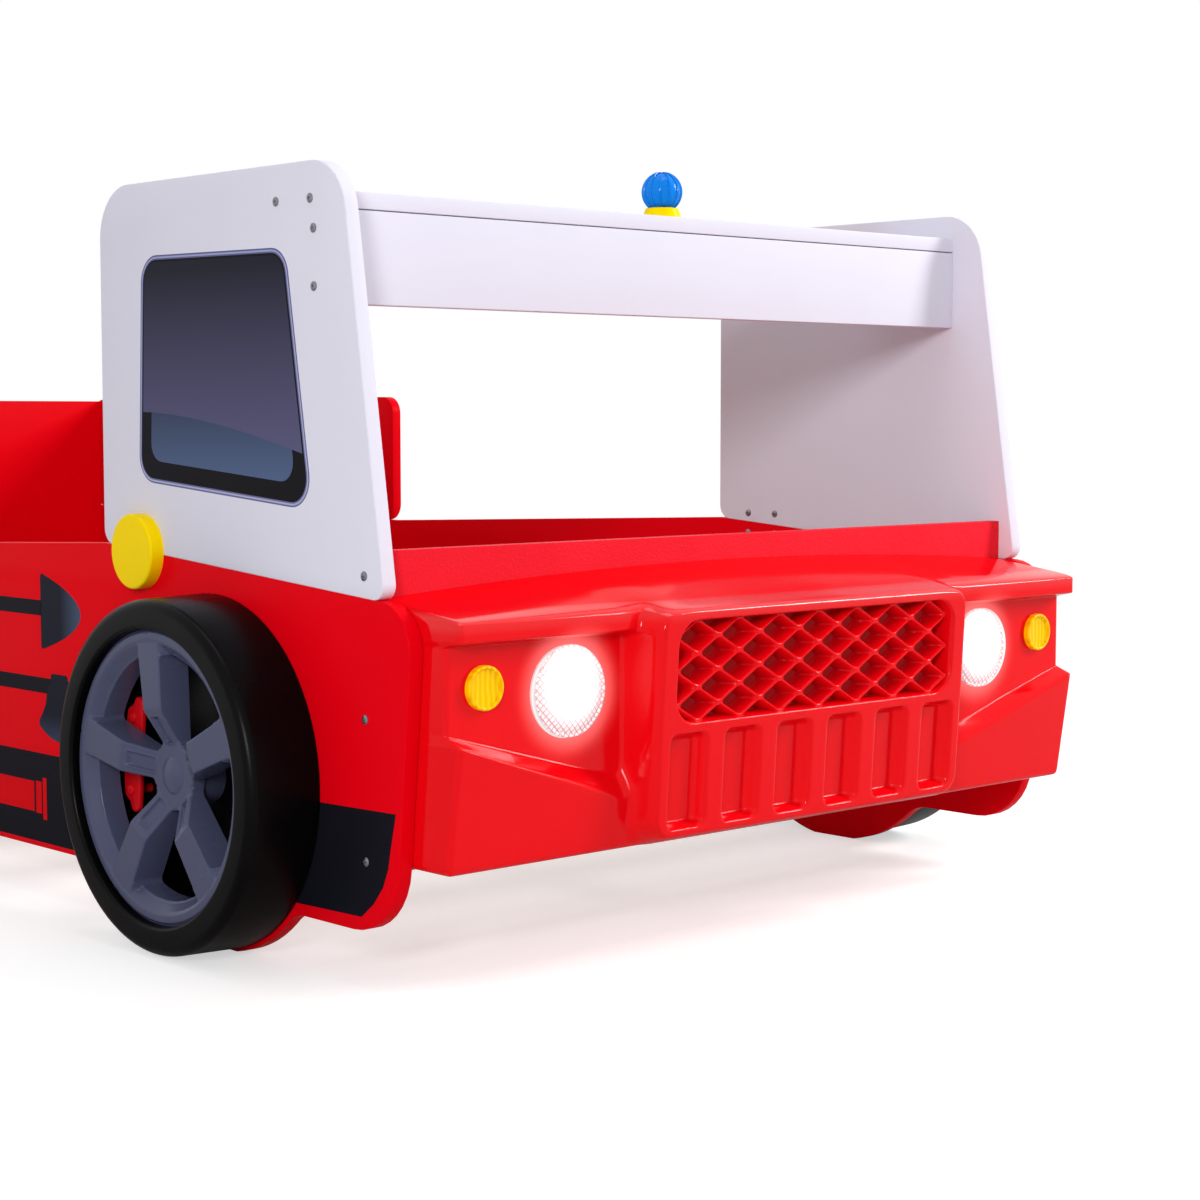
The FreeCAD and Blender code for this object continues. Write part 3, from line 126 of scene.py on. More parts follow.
def net(rows, columns, close_rows=False, close_columns=False):
    """The faces of a grid of rows and columns, joined round either way where asked."""
    i, j = np.meshgrid(np.arange(rows if close_rows else rows - 1),
                       np.arange(columns if close_columns else columns - 1), indexing="ij")
    here, up = i * columns, (i + 1) % rows * columns
    right = (j + 1) % columns
    return np.stack([here + j, here + right, up + right, up + j], -1).reshape(-1, 4).tolist()


def loft(rings):
    """A skin over closed rings of equally many points, with a flat cap on its first and last ring."""
    count, size = rings.shape[:2]
    first, last = np.arange(size), np.arange(size) + (count - 1) * size
    return rings.reshape(-1, 3), net(count, size, close_columns=True) + [first[::-1].tolist(), last.tolist()]


def plate(outline, low, high, arris, axis):
    """A board from low to high: each arris draws in by r (1 - sin t) as it rises by r (1 - cos t)."""
    t = np.linspace(0, np.pi / 2, 4) if arris else np.zeros(1)
    draw = arris * (1 - np.sin(t))
    rise = arris * (1 - np.cos(t))
    levels = np.concatenate([low + rise, high - rise[::-1]])
    draws = np.concatenate([draw, draw[::-1]])
    rings = [np.column_stack([inset(outline, d), np.full(len(outline), w)]) for d, w in zip(draws, levels)]
    return loft(np.stack(rings)[:, :, ORDER[axis]])


def block(low, high, arris, axis):
    """A plain board between two corners, its thickness along one axis."""
    thick = "xyz".index(axis)
    flat = [i for i in range(3) if i != thick]
    (u0, v0), (u1, v1) = ([corner[i] for i in flat] for corner in (low, high))
    outline = np.array([(u0, v0), (u1, v0), (u1, v1), (u0, v1)], float)
    return plate(outline, low[thick], high[thick], arris, axis)


def lathe(profile, segments, axis, closed=False):
    """A profile of (radius, height) points turned about an axis, joined into a ring where it is closed."""
    turn = np.linspace(0, 2 * np.pi, segments, endpoint=False)
    radius, height = profile.T
    rings = np.stack([np.outer(np.cos(turn), radius), np.outer(np.sin(turn), radius),
                      np.tile(height, (segments, 1))], -1)
    faces = net(segments, len(profile), close_rows=True, close_columns=closed)
    return rings[:, :, ORDER[axis]].reshape(-1, 3), faces


def move(shape, x, y, z):
    """A shape carried along X, Y and Z."""
    return shape[0] + np.array([x, y, z]), shape[1]


def face_side(shape, side):
    """A shape made to face +X, turned half round about the vertical for the left side."""
    return shape[0] * np.array([side, side, 1]), shape[1]


def join(*shapes):
    """Several shapes as one."""
    starts = np.cumsum([0] + [len(points) for points, faces in shapes])
    faces = [[i + start for i in face] for (points, sides), start in zip(shapes, starts) for face in sides]
    return np.concatenate([points for points, sides in shapes]), faces


def make(name, shape, finish, stands_for=(), crisp=35):
    """One piece in metres: doubled points merged, faces outward, edges over so many degrees kept crisp."""
    points, faces = shape
    mesh = bpy.data.meshes.new(name)
    mesh.from_pydata((points * MM).tolist(), [], faces)
    work = bmesh.new()
    work.from_mesh(mesh)
    bmesh.ops.remove_doubles(work, verts=work.verts, dist=0.01 * MM)
    bmesh.ops.recalc_face_normals(work, faces=work.faces)
    work.to_mesh(mesh)
    work.free()
    mesh.shade_smooth()
    mesh.set_sharp_from_angle(angle=math.radians(crisp))
    mesh.materials.append(finish)
    piece = bpy.data.objects.new(name, mesh)
    bpy.context.scene.collection.objects.link(piece)
    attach(piece, "bed")
    if stands_for:
        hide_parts(*stands_for)
    return piece


# Smooth fields

def ease(t):
    """A smooth step, 0 at t = 0 and 1 at t = 1: 3 t^2 - 2 t^3."""
    t = np.clip(t, 0, 1)
    return t * t * (3 - 2 * t)


def soft_min(a, b, k):
    """The smaller of two fields, with their meeting rounded over k."""
    h = np.clip(0.5 + 0.5 * (b - a) / k, 0, 1)
    return b + (a - b) * h - k * h * (1 - h)


def bevel(t, k=0.3):
    """A straight ramp from 0 at t = 0 to 1 at t = 1, its two ends rounded over k."""
    return soft_min(-soft_min(-t, 0 * t, k), 1 + 0 * t, k)


def inside(radius, *gaps):
    """How far inside some edges a point is, with corners rounded by a radius: r - |max(r - gap, 0)|."""
    return radius - np.sqrt(sum(np.maximum(radius - gap, 0) ** 2 for gap in gaps))


# Materials

def linear(colour):
    """An sRGB hex colour as linear RGBA."""
    s = np.array([int(colour[i:i + 2], 16) for i in (1, 3, 5)]) / 255
    return (*np.where(s <= 0.04045, s / 12.92, ((s + 0.055) / 1.055) ** 2.4), 1)


def add(tree, kind, settings, sockets):
    """A node with its own settings. Each named socket takes a value or another node's output."""
    node = tree.nodes.new(kind)
    for name, value in settings.items():
        setattr(node, name, value)
    for name, value in sockets.items():
        if isinstance(value, bpy.types.NodeSocket):
            tree.links.new(value, node.inputs[name])
        else:
            node.inputs[name].default_value = value
    return node.outputs


def surface(name, **sockets):
    """A new material with its plain sockets set, then its tree, its shader and the piece's coordinates."""
    material = bpy.data.materials.new(name)
    material.use_nodes = True
    tree = material.node_tree
    shader = tree.nodes["Principled BSDF"]
    for socket, value in sockets.items():
        shader.inputs[socket.replace("_", " ")].default_value = value
    place = add(tree, "ShaderNodeTexCoord", {}, {})["Object"]
    return material, tree, shader, place


def feed(tree, shader, **outputs):
    """Links each output to the shader's socket of that name."""
    for socket, output in outputs.items():
        tree.links.new(output, shader.inputs[socket.replace("_", " ")])


def laminate(name, base, shade, roughness, fleck, depth):
    """Melamine-faced board: an even colour, its gloss broken by a pressed grain, drawn coarse to show."""
    material, tree, shader, place = surface(name, Roughness=roughness, IOR=1.5, Specular_IOR_Level=0.025)
    cloud = add(tree, "ShaderNodeTexNoise", {}, {"Vector": place, "Scale": 1 / (90 * MM), "Detail": 4})
    tone = add(tree, "ShaderNodeMix", {"data_type": "RGBA"},
               {0: cloud["Fac"], 6: linear(base), 7: linear(shade)})
    grain = add(tree, "ShaderNodeTexNoise", {}, {"Vector": place, "Scale": 1 / (fleck * MM), "Detail": 3})
    bump = add(tree, "ShaderNodeBump", {}, {"Height": grain["Fac"], "Distance": depth * MM, "Strength": 0.6})
    feed(tree, shader, Base_Color=tone[2], Normal=bump["Normal"])
    return material


def moulded(name, base, shade, roughness, grit, depth, sheen=0.1):
    """Moulded plastic: an even colour, slight flow marks, and the grit of the tool, drawn coarse to show."""
    material, tree, shader, place = surface(name, IOR=1.5, Specular_IOR_Level=sheen)
    flow = add(tree, "ShaderNodeTexNoise", {}, {"Vector": place, "Scale": 1 / (70 * MM), "Detail": 3})
    tone = add(tree, "ShaderNodeMix", {"data_type": "RGBA"},
               {0: flow["Fac"], 6: linear(base), 7: linear(shade)})
    gloss = add(tree, "ShaderNodeMapRange", {}, {"Value": flow["Fac"], "From Min": 0.3, "From Max": 0.7,
                                                 "To Min": roughness * 0.85, "To Max": roughness * 1.15})
    grain = add(tree, "ShaderNodeTexNoise", {}, {"Vector": place, "Scale": 1 / (grit * MM), "Detail": 2})
    bump = add(tree, "ShaderNodeBump", {}, {"Height": grain["Fac"], "Distance": depth * MM, "Strength": 0.5})
    feed(tree, shader, Base_Color=tone[2], Roughness=gloss["Result"], Normal=bump["Normal"])
    return material


def ink(name, low_colour, high_colour, axis, low, high):
    """Printed film: a colour that runs from one tone to another along an axis, under a satin lacquer."""
    material, tree, shader, place = surface(name, Roughness=0.32, IOR=1.5, Specular_IOR_Level=0.025)
    split = add(tree, "ShaderNodeSeparateXYZ", {}, {"Vector": place})
    run = add(tree, "ShaderNodeMapRange", {},
              {"Value": split[axis], "From Min": low * MM, "From Max": high * MM})
    tone = add(tree, "ShaderNodeMix", {"data_type": "RGBA"},
               {0: run["Result"], 6: linear(low_colour), 7: linear(high_colour)})
    # The printer's dots, drawn coarse enough to show
    dots = add(tree, "ShaderNodeTexNoise", {}, {"Vector": place, "Scale": 1 / (1.5 * MM), "Detail": 2})
    bump = add(tree, "ShaderNodeBump", {}, {"Height": dots["Fac"], "Distance": 0.05 * MM, "Strength": 0.3})
    feed(tree, shader, Base_Color=tone[2], Normal=bump["Normal"])
    return material


def pine(name):
    """Planed pine: darker bands of summer wood, drawn out along Y and slightly raised."""
    material, tree, shader, place = surface(name, Roughness=0.55, IOR=1.5)
    stretch = add(tree, "ShaderNodeMapping", {}, {"Vector": place, "Scale": (1, 0.06, 1)})
    bands = add(tree, "ShaderNodeTexNoise", {}, {"Vector": stretch["Vector"], "Scale": 1 / (9 * MM),
                                                 "Detail": 4, "Distortion": 0.6})
    ramp = add(tree, "ShaderNodeMapRange", {}, {"Value": bands["Fac"], "From Min": 0.35, "From Max": 0.7})
    tone = add(tree, "ShaderNodeMix", {"data_type": "RGBA"},
               {0: ramp["Result"], 6: linear("#e8cfa2"), 7: linear("#c9a36b")})
    bump = add(tree, "ShaderNodeBump", {}, {"Height": bands["Fac"], "Distance": 0.2 * MM, "Strength": 0.4})
    feed(tree, shader, Base_Color=tone[2], Normal=bump["Normal"])
    return material


def zinc(name):
    """Zinc-plated steel: bright, with the faint mottle of the plating."""
    material, tree, shader, place = surface(name, Metallic=1.0)
    mottle = add(tree, "ShaderNodeTexNoise", {}, {"Vector": place, "Scale": 1 / (2 * MM), "Detail": 3})
    tone = add(tree, "ShaderNodeMix", {"data_type": "RGBA"},
               {0: mottle["Fac"], 6: linear("#66676d"), 7: linear("#9c9da3")})
    gloss = add(tree, "ShaderNodeMapRange", {}, {"Value": mottle["Fac"], "To Min": 0.2, "To Max": 0.45})
    feed(tree, shader, Base_Color=tone[2], Roughness=gloss["Result"])
    return material


def from_lamp(tree, place, rise):
    """Offset and distance of a point from a little above the nearer headlight, seen from the front."""
    mirrored = add(tree, "ShaderNodeVectorMath", {"operation": "ABSOLUTE"}, {0: place})
    offset = add(tree, "ShaderNodeVectorMath", {"operation": "SUBTRACT"},
                 {0: mirrored["Vector"], 1: (LAMP_X * MM, 0, (LAMP_Z + rise) * MM)})
    flat = add(tree, "ShaderNodeVectorMath", {"operation": "MULTIPLY"}, {0: offset["Vector"], 1: (1, 0, 1)})
    distance = add(tree, "ShaderNodeVectorMath", {"operation": "LENGTH"}, {0: flat["Vector"]})
    return flat["Vector"], distance["Value"]


def lit_lens(name):
    """Clear acrylic over a lit lamp: white in the middle, with small pressed prisms towards the edge."""
    material, tree, shader, place = surface(name, Roughness=0.12, IOR=1.49, Emission_Color=linear("#fff8f9"),
                                            Specular_IOR_Level=0.1)
    glow_rise, prism = 7, 5
    flat, distance = from_lamp(tree, place, glow_rise)
    turned = add(tree, "ShaderNodeVectorRotate", {"rotation_type": "Y_AXIS"},
                 {"Vector": flat, "Angle": math.pi / 4})
    prisms = add(tree, "ShaderNodeTexVoronoi", {"feature": "F1", "distance": "CHEBYCHEV"},
                 {"Vector": turned["Vector"], "Scale": 1 / (prism * MM), "Randomness": 0.0})
    facet = add(tree, "ShaderNodeMapRange", {},
                {"Value": prisms["Distance"], "From Min": 0.3, "From Max": 0.48})
    tone = add(tree, "ShaderNodeMix", {"data_type": "RGBA"},
               {0: facet["Result"], 6: linear("#f6eef0"), 7: linear("#d07a82")})
    bump = add(tree, "ShaderNodeBump", {},
               {"Height": prisms["Distance"], "Distance": 2 * MM, "Strength": 0.5})
    glow = add(tree, "ShaderNodeMapRange", {"interpolation_type": "SMOOTHSTEP"},
               {"Value": distance, "From Min": 20 * MM, "From Max": 46 * MM, "To Min": 1.2, "To Max": 0.15})
    feed(tree, shader, Base_Color=tone[2], Normal=bump["Normal"], Emission_Strength=glow["Result"])
    return material


def moulding_with_painted_glow(material):
    """The fascia's plastic: a painted glow round the headlights, as emission, most glossy along its lip,
    satin on its hood.
    """
    tree = material.node_tree
    shader = tree.nodes["Principled BSDF"]
    place = add(tree, "ShaderNodeTexCoord", {}, {})["Object"]
    distance = from_lamp(tree, place, 0)[1]
    # Painted glow: a pink emission that fades out from each headlight's rim, standing in for the lamps'
    # light falling on the plastic.
    near = add(tree, "ShaderNodeMapRange", {"interpolation_type": "SMOOTHERSTEP"},
               {"Value": distance, "From Min": 36 * MM, "From Max": 84 * MM, "To Min": 0.8, "To Max": 0})
    glow = add(tree, "ShaderNodeMath", {"operation": "POWER"}, {0: near["Result"], 1: 2.5})
    shader.inputs["Emission Color"].default_value = linear("#ff9894")
    height = add(tree, "ShaderNodeSeparateXYZ", {}, {0: place})["Z"]
    face_gloss, lip_gloss, hood_gloss = 0.13, 0.38, 0.02
    below = add(tree, "ShaderNodeMapRange", {},
                {"Value": height, "From Min": (LIP - 18) * MM, "From Max": (LIP - 10) * MM,
                 "To Min": face_gloss, "To Max": lip_gloss})
    above = add(tree, "ShaderNodeMapRange", {},
                {"Value": height, "From Min": (LIP - 3) * MM, "From Max": (LIP + 2) * MM,
                 "To Min": lip_gloss, "To Max": hood_gloss})
    gloss = add(tree, "ShaderNodeMath", {"operation": "MINIMUM"}, {0: below["Result"], 1: above["Result"]})
    feed(tree, shader, Emission_Strength=glow["Value"], Specular_IOR_Level=gloss["Value"])
    return material


def drawn(material):
    """Painted shade: darker and duller towards the floor of the lattice's pockets, where little light comes.
    """
    tree = material.node_tree
    shader = tree.nodes["Principled BSDF"]
    colour = shader.inputs["Base Color"].links[0].from_socket
    place = add(tree, "ShaderNodeTexCoord", {}, {})["Object"]
    depth = add(tree, "ShaderNodeSeparateXYZ", {}, {0: place})["Y"]
    ribs = BED_FRONT - LATTICE_FRONT
    # Painted shade: with depth into the pockets the colour runs to a dark red and the specular level falls.
    floor = add(tree, "ShaderNodeMapRange", {},
                {"Value": depth, "From Min": (ribs + 1) * MM, "From Max": (ribs + LATTICE_SINK - 3) * MM})
    tone = add(tree, "ShaderNodeMix", {"data_type": "RGBA"},
               {0: floor["Result"], 6: colour, 7: linear("#7c0008")})
    gloss = add(tree, "ShaderNodeMapRange", {}, {"Value": floor["Result"], "To Min": 0.12, "To Max": 0.01})
    feed(tree, shader, Base_Color=tone[2], Specular_IOR_Level=gloss["Result"])
    return material


def signal_lens(name):
    """Yellow acrylic with upright wavy cells: a wave texture of scale s repeats every 0.31 / s."""
    material, tree, shader, place = surface(name, Roughness=0.2, IOR=1.49, Specular_IOR_Level=0.1)
    unit_wave, cell = 0.31, 6
    ripple = add(tree, "ShaderNodeTexWave", {"bands_direction": "X", "wave_profile": "SIN"},
                 {"Vector": place, "Scale": unit_wave / (cell * MM), "Distortion": 2.5, "Detail": 0})
    colour = add(tree, "ShaderNodeMix", {"data_type": "RGBA"},
                 {0: ripple["Fac"], 6: linear("#f0b400"), 7: linear("#ffcf00")})
    bump = add(tree, "ShaderNodeBump", {}, {"Height": ripple["Fac"], "Distance": 1 * MM, "Strength": 0.3})
    feed(tree, shader, Base_Color=colour[2], Normal=bump["Normal"])
    return material


RED_BOARD = laminate("red_melamine_board", "#e60012", "#e00012", 0.34, 0.9, 0.05)
PEBBLED_RED = laminate("pebbled_red_melamine_board", "#ea2434", "#dc1a2a", 0.4, 2.2, 1.2)
WHITE_BOARD = laminate("white_melamine_board", "#dedce9", "#dad8e6", 0.38, 1.0, 0.08)
# The fascia's red, with a painted glow round the headlights.
GLOSSY_RED = moulding_with_painted_glow(moulded("thermoformed_red_abs", "#e60410", "#e2040f", 0.1, 3.0, 0.01))
# The lattice's red, with painted shade deep in its pockets.
LATTICE_RED_PAINTED_SHADE = drawn(moulded("red_abs_painted_pocket_shade", "#e60410", "#e2040f", 0.1, 3.0, 0.01))
TYRE_BLACK = moulded("satin_black_polyethylene", "#040304", "#060506", 0.3, 1.2, 0.03, 0.07)
RIM_GREY = moulded("satin_slate_abs", "#4a4e68", "#494c67", 0.24, 1.0, 0.02, 0.2)
CALIPER_RED = moulded("red_abs", "#d6101a", "#cc0c16", 0.25, 1.0, 0.03)
DISC_YELLOW = moulded("yellow_abs", "#ffdc00", "#fbd600", 0.28, 1.0, 0.03, 0.04)
BEACON_BLUE = moulded("blue_abs", "#0080e2", "#007cde", 0.14, 1.0, 0.01, 0.15)
BOX_BLACK = moulded("textured_black_abs", "#18181a", "#222224", 0.5, 0.8, 0.1)
LAMP_WHITE = moulded("white_abs", "#f0f0f0", "#e6e6e6", 0.35, 1.0, 0.03)
PINE = pine("planed_pine")
ZINC = zinc("zinc_plated_steel")
LIT_LENS = lit_lens("lit_prismatic_acrylic")
SIGNAL_LENS = signal_lens("yellow_prismatic_acrylic")
NAVY_INK = ink("navy_print", "#12131b", "#17151d", "Z", 60, 170)


# Boards

def foot_edge(axle):
    """A side panel's under edge at a wheel: a blend off the sill into a round foot, flat on the floor."""
    reach = math.sqrt((FOOT_RADIUS + FOOT_BLEND) ** 2 - (WHEEL_HEIGHT - SILL + FOOT_BLEND) ** 2)
    lean = math.degrees(math.atan2(WHEEL_HEIGHT - SILL + FOOT_BLEND, reach))
    toe = math.degrees(math.acos(WHEEL_HEIGHT / FOOT_RADIUS))
    low = SILL - FOOT_BLEND
    wheel = (axle, WHEEL_HEIGHT)
    return np.concatenate([arc((axle - reach, low), FOOT_BLEND, 90, lean),
                           arc(wheel, FOOT_RADIUS, 180 + lean, 270 - toe)[1:],
                           arc(wheel, FOOT_RADIUS, 270 + toe, 360 - lean),
                           arc((axle + reach, low), FOOT_BLEND, 180 - lean, 90)[1:]])


def side_outline():
    """The outline of a side panel in Y and Z, anticlockwise from the nose."""
    steps = 9
    outline = rounded([(NOSE_FOOT, SILL, 70), (BED_REAR, SILL, 60), (BED_REAR, DECK, 18),
                       (GUARD_FRONT, DECK, None), (CAB_REAR, APEX, None), (NOSE_TIP, NOSE_TOP, 46)], steps)
    feet = [foot_edge(axle) for end, axle in AXLES]
    return np.concatenate([outline[:steps], *feet, outline[steps:]])


def boards():
    """Every board, with the slight arris that the edge banding has."""
    cab = rounded([(CAB_TOE, CAB_FOOT, 14), (CAB_REAR, APEX, 18), (CAB_REAR, CAB_TOP, 54),
                   (CAB_BROW, CAB_TOP, 54)], 16)
    guard = rounded([(GUARD_FRONT, DECK, 25), (GUARD_REAR, DECK, 25),
                     (GUARD_REAR, GUARD_TOP, 25), (GUARD_FRONT, GUARD_TOP, 25)])
    for label, side in SIDES:
        low, high = sorted((side * BOARD_IN, side * BOARD_OUT))
        for name, outline, finish, slot, node in (
                ("side_board", side_outline(), RED_BOARD, "red_board", "side_panel"),
                ("cab_board", cab, WHITE_BOARD, "white_board", "cab_panel"),
                ("guard_board", guard, RED_BOARD, "red_board", "guard")):
            make(f"{name}_{label}", plate(outline, low, high, ARRIS, "x"), finish, [f"{node}_{label}"])
    wide = BOARD_IN
    joint = 1
    shelf = block((-wide, ROOF_FRONT, SHELF_BOTTOM), (wide, SHELF_REAR, SHELF_TOP), 1, "z")
    roof = block((-wide, ROOF_FRONT, ROOF_BOTTOM), (wide, ROOF_FRONT + BOARD, SHELF_BOTTOM - joint),
                 ARRIS, "y")
    nose = block((-wide, BED_FRONT, CROSS_FOOT), (wide, WELL_FRONT, NOSE_BOARD_TOP), ARRIS, "y")
    head = block((-wide, WELL_REAR, CROSS_FOOT), (wide, WELL_REAR + BOARD, HEAD_BOARD_TOP), ARRIS, "y")
    make("shelf_board", shelf, WHITE_BOARD, ["roof_shelf"])
    make("roof_board", roof, WHITE_BOARD, ["roof_front_board"])
    make("nose_board", nose, PEBBLED_RED, ["front_board"])
    make("head_board", head, RED_BOARD, ["headboard"])


def slatted_base():
    """Pine battens with softened edges: rails on the sides, a beam on two legs, and slats across."""
    for label, side in SIDES:
        low, high = sorted((side * BOARD_IN, side * (BOARD_IN - RAIL_WIDTH)))
        rail = block((low, WELL_FRONT, RAIL_BOTTOM), (high, WELL_REAR, SLAT_SEAT), 2, "x")
        make(f"rail_batten_{label}", rail, PINE, [f"slat_rail_{label}"])
    beam = block((-BEAM_HALF, WELL_FRONT, BEAM_BOTTOM), (BEAM_HALF, WELL_REAR, SLAT_SEAT), 2, "x")
    make("beam_batten", beam, PINE, ["centre_beam"])
    for label, y in (("front", WELL_FRONT + LEG_INSET), ("rear", WELL_REAR - LEG_INSET)):
        leg = block((-LEG_HALF, y - LEG_HALF, 0), (LEG_HALF, y + LEG_HALF, BEAM_BOTTOM), 2, "x")
        make(f"leg_post_{label}", leg, PINE, [f"leg_{label}"])
    for i in range(SLATS):
        y = WELL_FRONT + SLAT_PITCH * (i + 0.5)
        slat = block((-SLAT_REACH, y - SLAT_HALF, SLAT_SEAT), (SLAT_REACH, y + SLAT_HALF, SLAT_SEAT + BOARD),
                     2.5, "z")
        make(f"slat_board_{i + 1:02d}", slat, PINE, [f"slat_{i + 1:02d}"])


# Fascia

def grid_lines(low, high, step, *bands):
    """Places from low to high by one step, with more of them in each band of (from, to, step)."""
    runs = [np.arange(a, b, s) for a, b, s in ((low, high, step), *bands)]
    return np.unique(np.round(np.concatenate([*runs, [high]]) * 2) / 2)


def fascia_depth(x, z):
    """How far the moulding stands out from the front board.

    Each form takes over from the last along a ramp, from 0 to 1 over some millimetres inside its edge.
    """
    far = np.abs(x)
    bend = (far / FASCIA_HALF) ** 2

    # Lamp bays over a ledge that rises and narrows outwards, and a bumper that leans back below it
    outward = (far - LEDGE_INNER) / (FASCIA_HALF - LEDGE_INNER)
    ledge, ledge_width = 165.5 + 72 * outward, 21.5 - 13.5 * outward
    ramp = 12
    above_ledge = (z - ledge) * ramp / ledge_width
    bay = bevel(inside(2 * ramp, (BAY_TOP - z) * 2.4, above_ledge, (far - BAY_INNER) * 1.2) / ramp, 0.12)
    bumper = 22 - 19 * np.clip((246 - z) / 129, 0, 1)
    face = BAY_DEPTH + bumper * (1 - bay)

    # Grille block, leaning back towards its foot
    front = BLOCK_FRONT - 14 * (350 - z) / 224
    grille = inside(30, BLOCK_HALF - far, z - BLOCK_FOOT, BLOCK_TOP - z)
    face = face + (front - face) * bevel(grille / 8, 0.5)

    # Opening for the lattice, and a row of slots under it
    opening = inside(26, OPENING_HALF - far, OPENING_TOP - z, z - OPENING_FOOT)
    face = face + (OPENING_DEPTH - face) * bevel(opening / 5, 0.4)
    row_half = SLOTS * SLOT_PITCH / 2
    aside = np.abs((x + row_half) % SLOT_PITCH - SLOT_PITCH / 2)
    slot = inside(9, SLOT_HALF - aside, z - SLOT_FOOT, SLOT_TOP - z, row_half - far)
    face = face + (front - SLOT_SINK - face) * bevel(slot / 6, 0.3)

    # Hood, a slope from the crown at the front board down to the lip, which is further out on the block
    on_block = ease((262 - far) / 80)
    crown = CROWN - CROWN_FALL * bend
    lip = LIP - 3 * bend - 4 * on_block
    hood = (101 + 37 * on_block) * (crown - z) / (crown - lip)
    face = soft_min(hood, face, 24)

    # Rounded outer edge
    edge_round = 6
    edge = np.clip(1 - np.minimum(FASCIA_HALF - far, z - FASCIA_FOOT) / edge_round, 0, 1)
    return face - edge_round * (1 - np.sqrt(1 - edge ** 2))


def fascia():
    """The moulded front as a field of depths over X and Z, closed back to the front board."""
    # Lines lie closer where the forms have their edges
    slots = [side * SLOT_PITCH * (i + 0.5) for side in (-1, 1) for i in range(SLOTS // 2)]
    slot_walls = [(slot + a, slot + a + 11, 1.5) for slot in slots for a in (-26, 15)]
    row_half = SLOTS * SLOT_PITCH / 2
    half = grid_lines(0, FASCIA_HALF, 3, (195, 256, 1.5), (446, FASCIA_HALF, 1.5))
    x = np.unique(np.concatenate([-half, half, grid_lines(-row_half, row_half, 3, *slot_walls)]))
    brow = 339.5
    z = grid_lines(FASCIA_FOOT, brow, 3, (FASCIA_FOOT, 125, 1), (131, 147, 1), (168, 214, 1.5),
                   (214, 254, 1), (322, brow, 1))

    # Level rows up to the brow, then rows that rise evenly to the crown
    crown = CROWN - CROWN_FALL * (x / FASCIA_HALF) ** 2
    hood = np.concatenate([np.linspace(0.02, 0.5, 24), np.linspace(0.54, 1, 12)])[:, None]
    heights = np.vstack([np.repeat(z[:, None], len(x), 1), brow + (crown - brow) * hood])
    across = np.repeat(x[None], len(heights), 0)
    seam, foot_round = 0.2, 8
    depth = np.maximum(fascia_depth(across, heights), seam)
    tuck = np.clip(1 - (heights - FASCIA_FOOT) / foot_round, 0, 1)
    across = across * (1 - foot_round / FASCIA_HALF * (1 - np.sqrt(1 - tuck ** 2)))
    points = np.stack([across, BED_FRONT - depth, heights], -1).reshape(-1, 3)

    # A skirt and a flat back close it
    rows, columns = heights.shape
    spots = np.arange(rows * columns).reshape(rows, columns)
    rim = np.concatenate([spots[0], spots[1:, -1], spots[-1, -2::-1], spots[-2:0:-1, 0]])
    back = points[rim].copy()
    back[:, 1] = BED_FRONT - seam
    behind = np.arange(len(rim)) + len(points)
    skirt = np.stack([rim, behind, np.roll(behind, -1), np.roll(rim, -1)], -1).tolist()
    shape = np.vstack([points, back]), net(rows, columns) + skirt + [behind[::-1].tolist()]
    make("fascia_moulding", shape, GLOSSY_RED, ["fascia"], crisp=75)


def lattice():
    """The grille in its opening: a skin on lines along its two sets of slanting ribs, sunk between them."""
    # Lines across a cell, closest where the ribs bend into it
    pitch = CELL_HEIGHT * math.cos(math.atan2(CELL_HEIGHT, CELL_WIDTH))
    ladder = np.array([0, 0.8, 1.4, 2, 2.7, 3.6, 5, 7, 8.2, 9.2, 10.6, 12.6])
    cell = np.concatenate([ladder, pitch - ladder[:0:-1]]) / pitch
    lines = np.concatenate([i - 0.5 + cell for i in range(-6, 7)])
    p, q = np.meshgrid(lines, lines, indexing="ij")
    x = (q - p) * CELL_WIDTH / 2
    z = (OPENING_FOOT + OPENING_TOP) / 2 + (p + q) * CELL_HEIGHT / 2
    rib_half = 1.6
    gaps = [np.abs(line % 1 - 0.5) * pitch - rib_half for line in (p, q)]
    depth = LATTICE_FRONT - LATTICE_SINK * bevel(inside(4.5, *gaps) / 7.5, 0.28)

    # Only the cells that the opening shows, with a small margin that runs into its walls
    margin = 4
    faces = np.array(net(*p.shape))
    middle_x, middle_z = (field.reshape(-1)[faces].mean(1) for field in (x, z))
    faces = faces[(np.abs(middle_x) < OPENING_HALF + margin) & (middle_z > OPENING_FOOT - margin)
                  & (middle_z < OPENING_TOP + margin)]
    used, faces = np.unique(faces, return_inverse=True)
    faces = faces.reshape(-1, 4)
    points = np.stack([x, BED_FRONT - depth, z], -1).reshape(-1, 3)[used]

    # A flat back, and walls along the edges that only one face has
    count = len(points)
    ahead = np.concatenate([faces[:, [i, (i + 1) % 4]] for i in range(4)])
    lone = ahead[~np.isin(ahead[:, 1] * count + ahead[:, 0], ahead[:, 0] * count + ahead[:, 1])]
    back = points * np.array([1, 0, 1]) + np.array([0, BED_FRONT - OPENING_DEPTH - 2, 0])
    walls = np.column_stack([lone[:, 1], lone[:, 0], lone[:, 0] + count, lone[:, 1] + count])
    shape = np.vstack([points, back]), np.concatenate([faces, faces[:, ::-1] + count, walls]).tolist()
    make("fascia_lattice", shape, LATTICE_RED_PAINTED_SHADE, crisp=75)


# Lamps

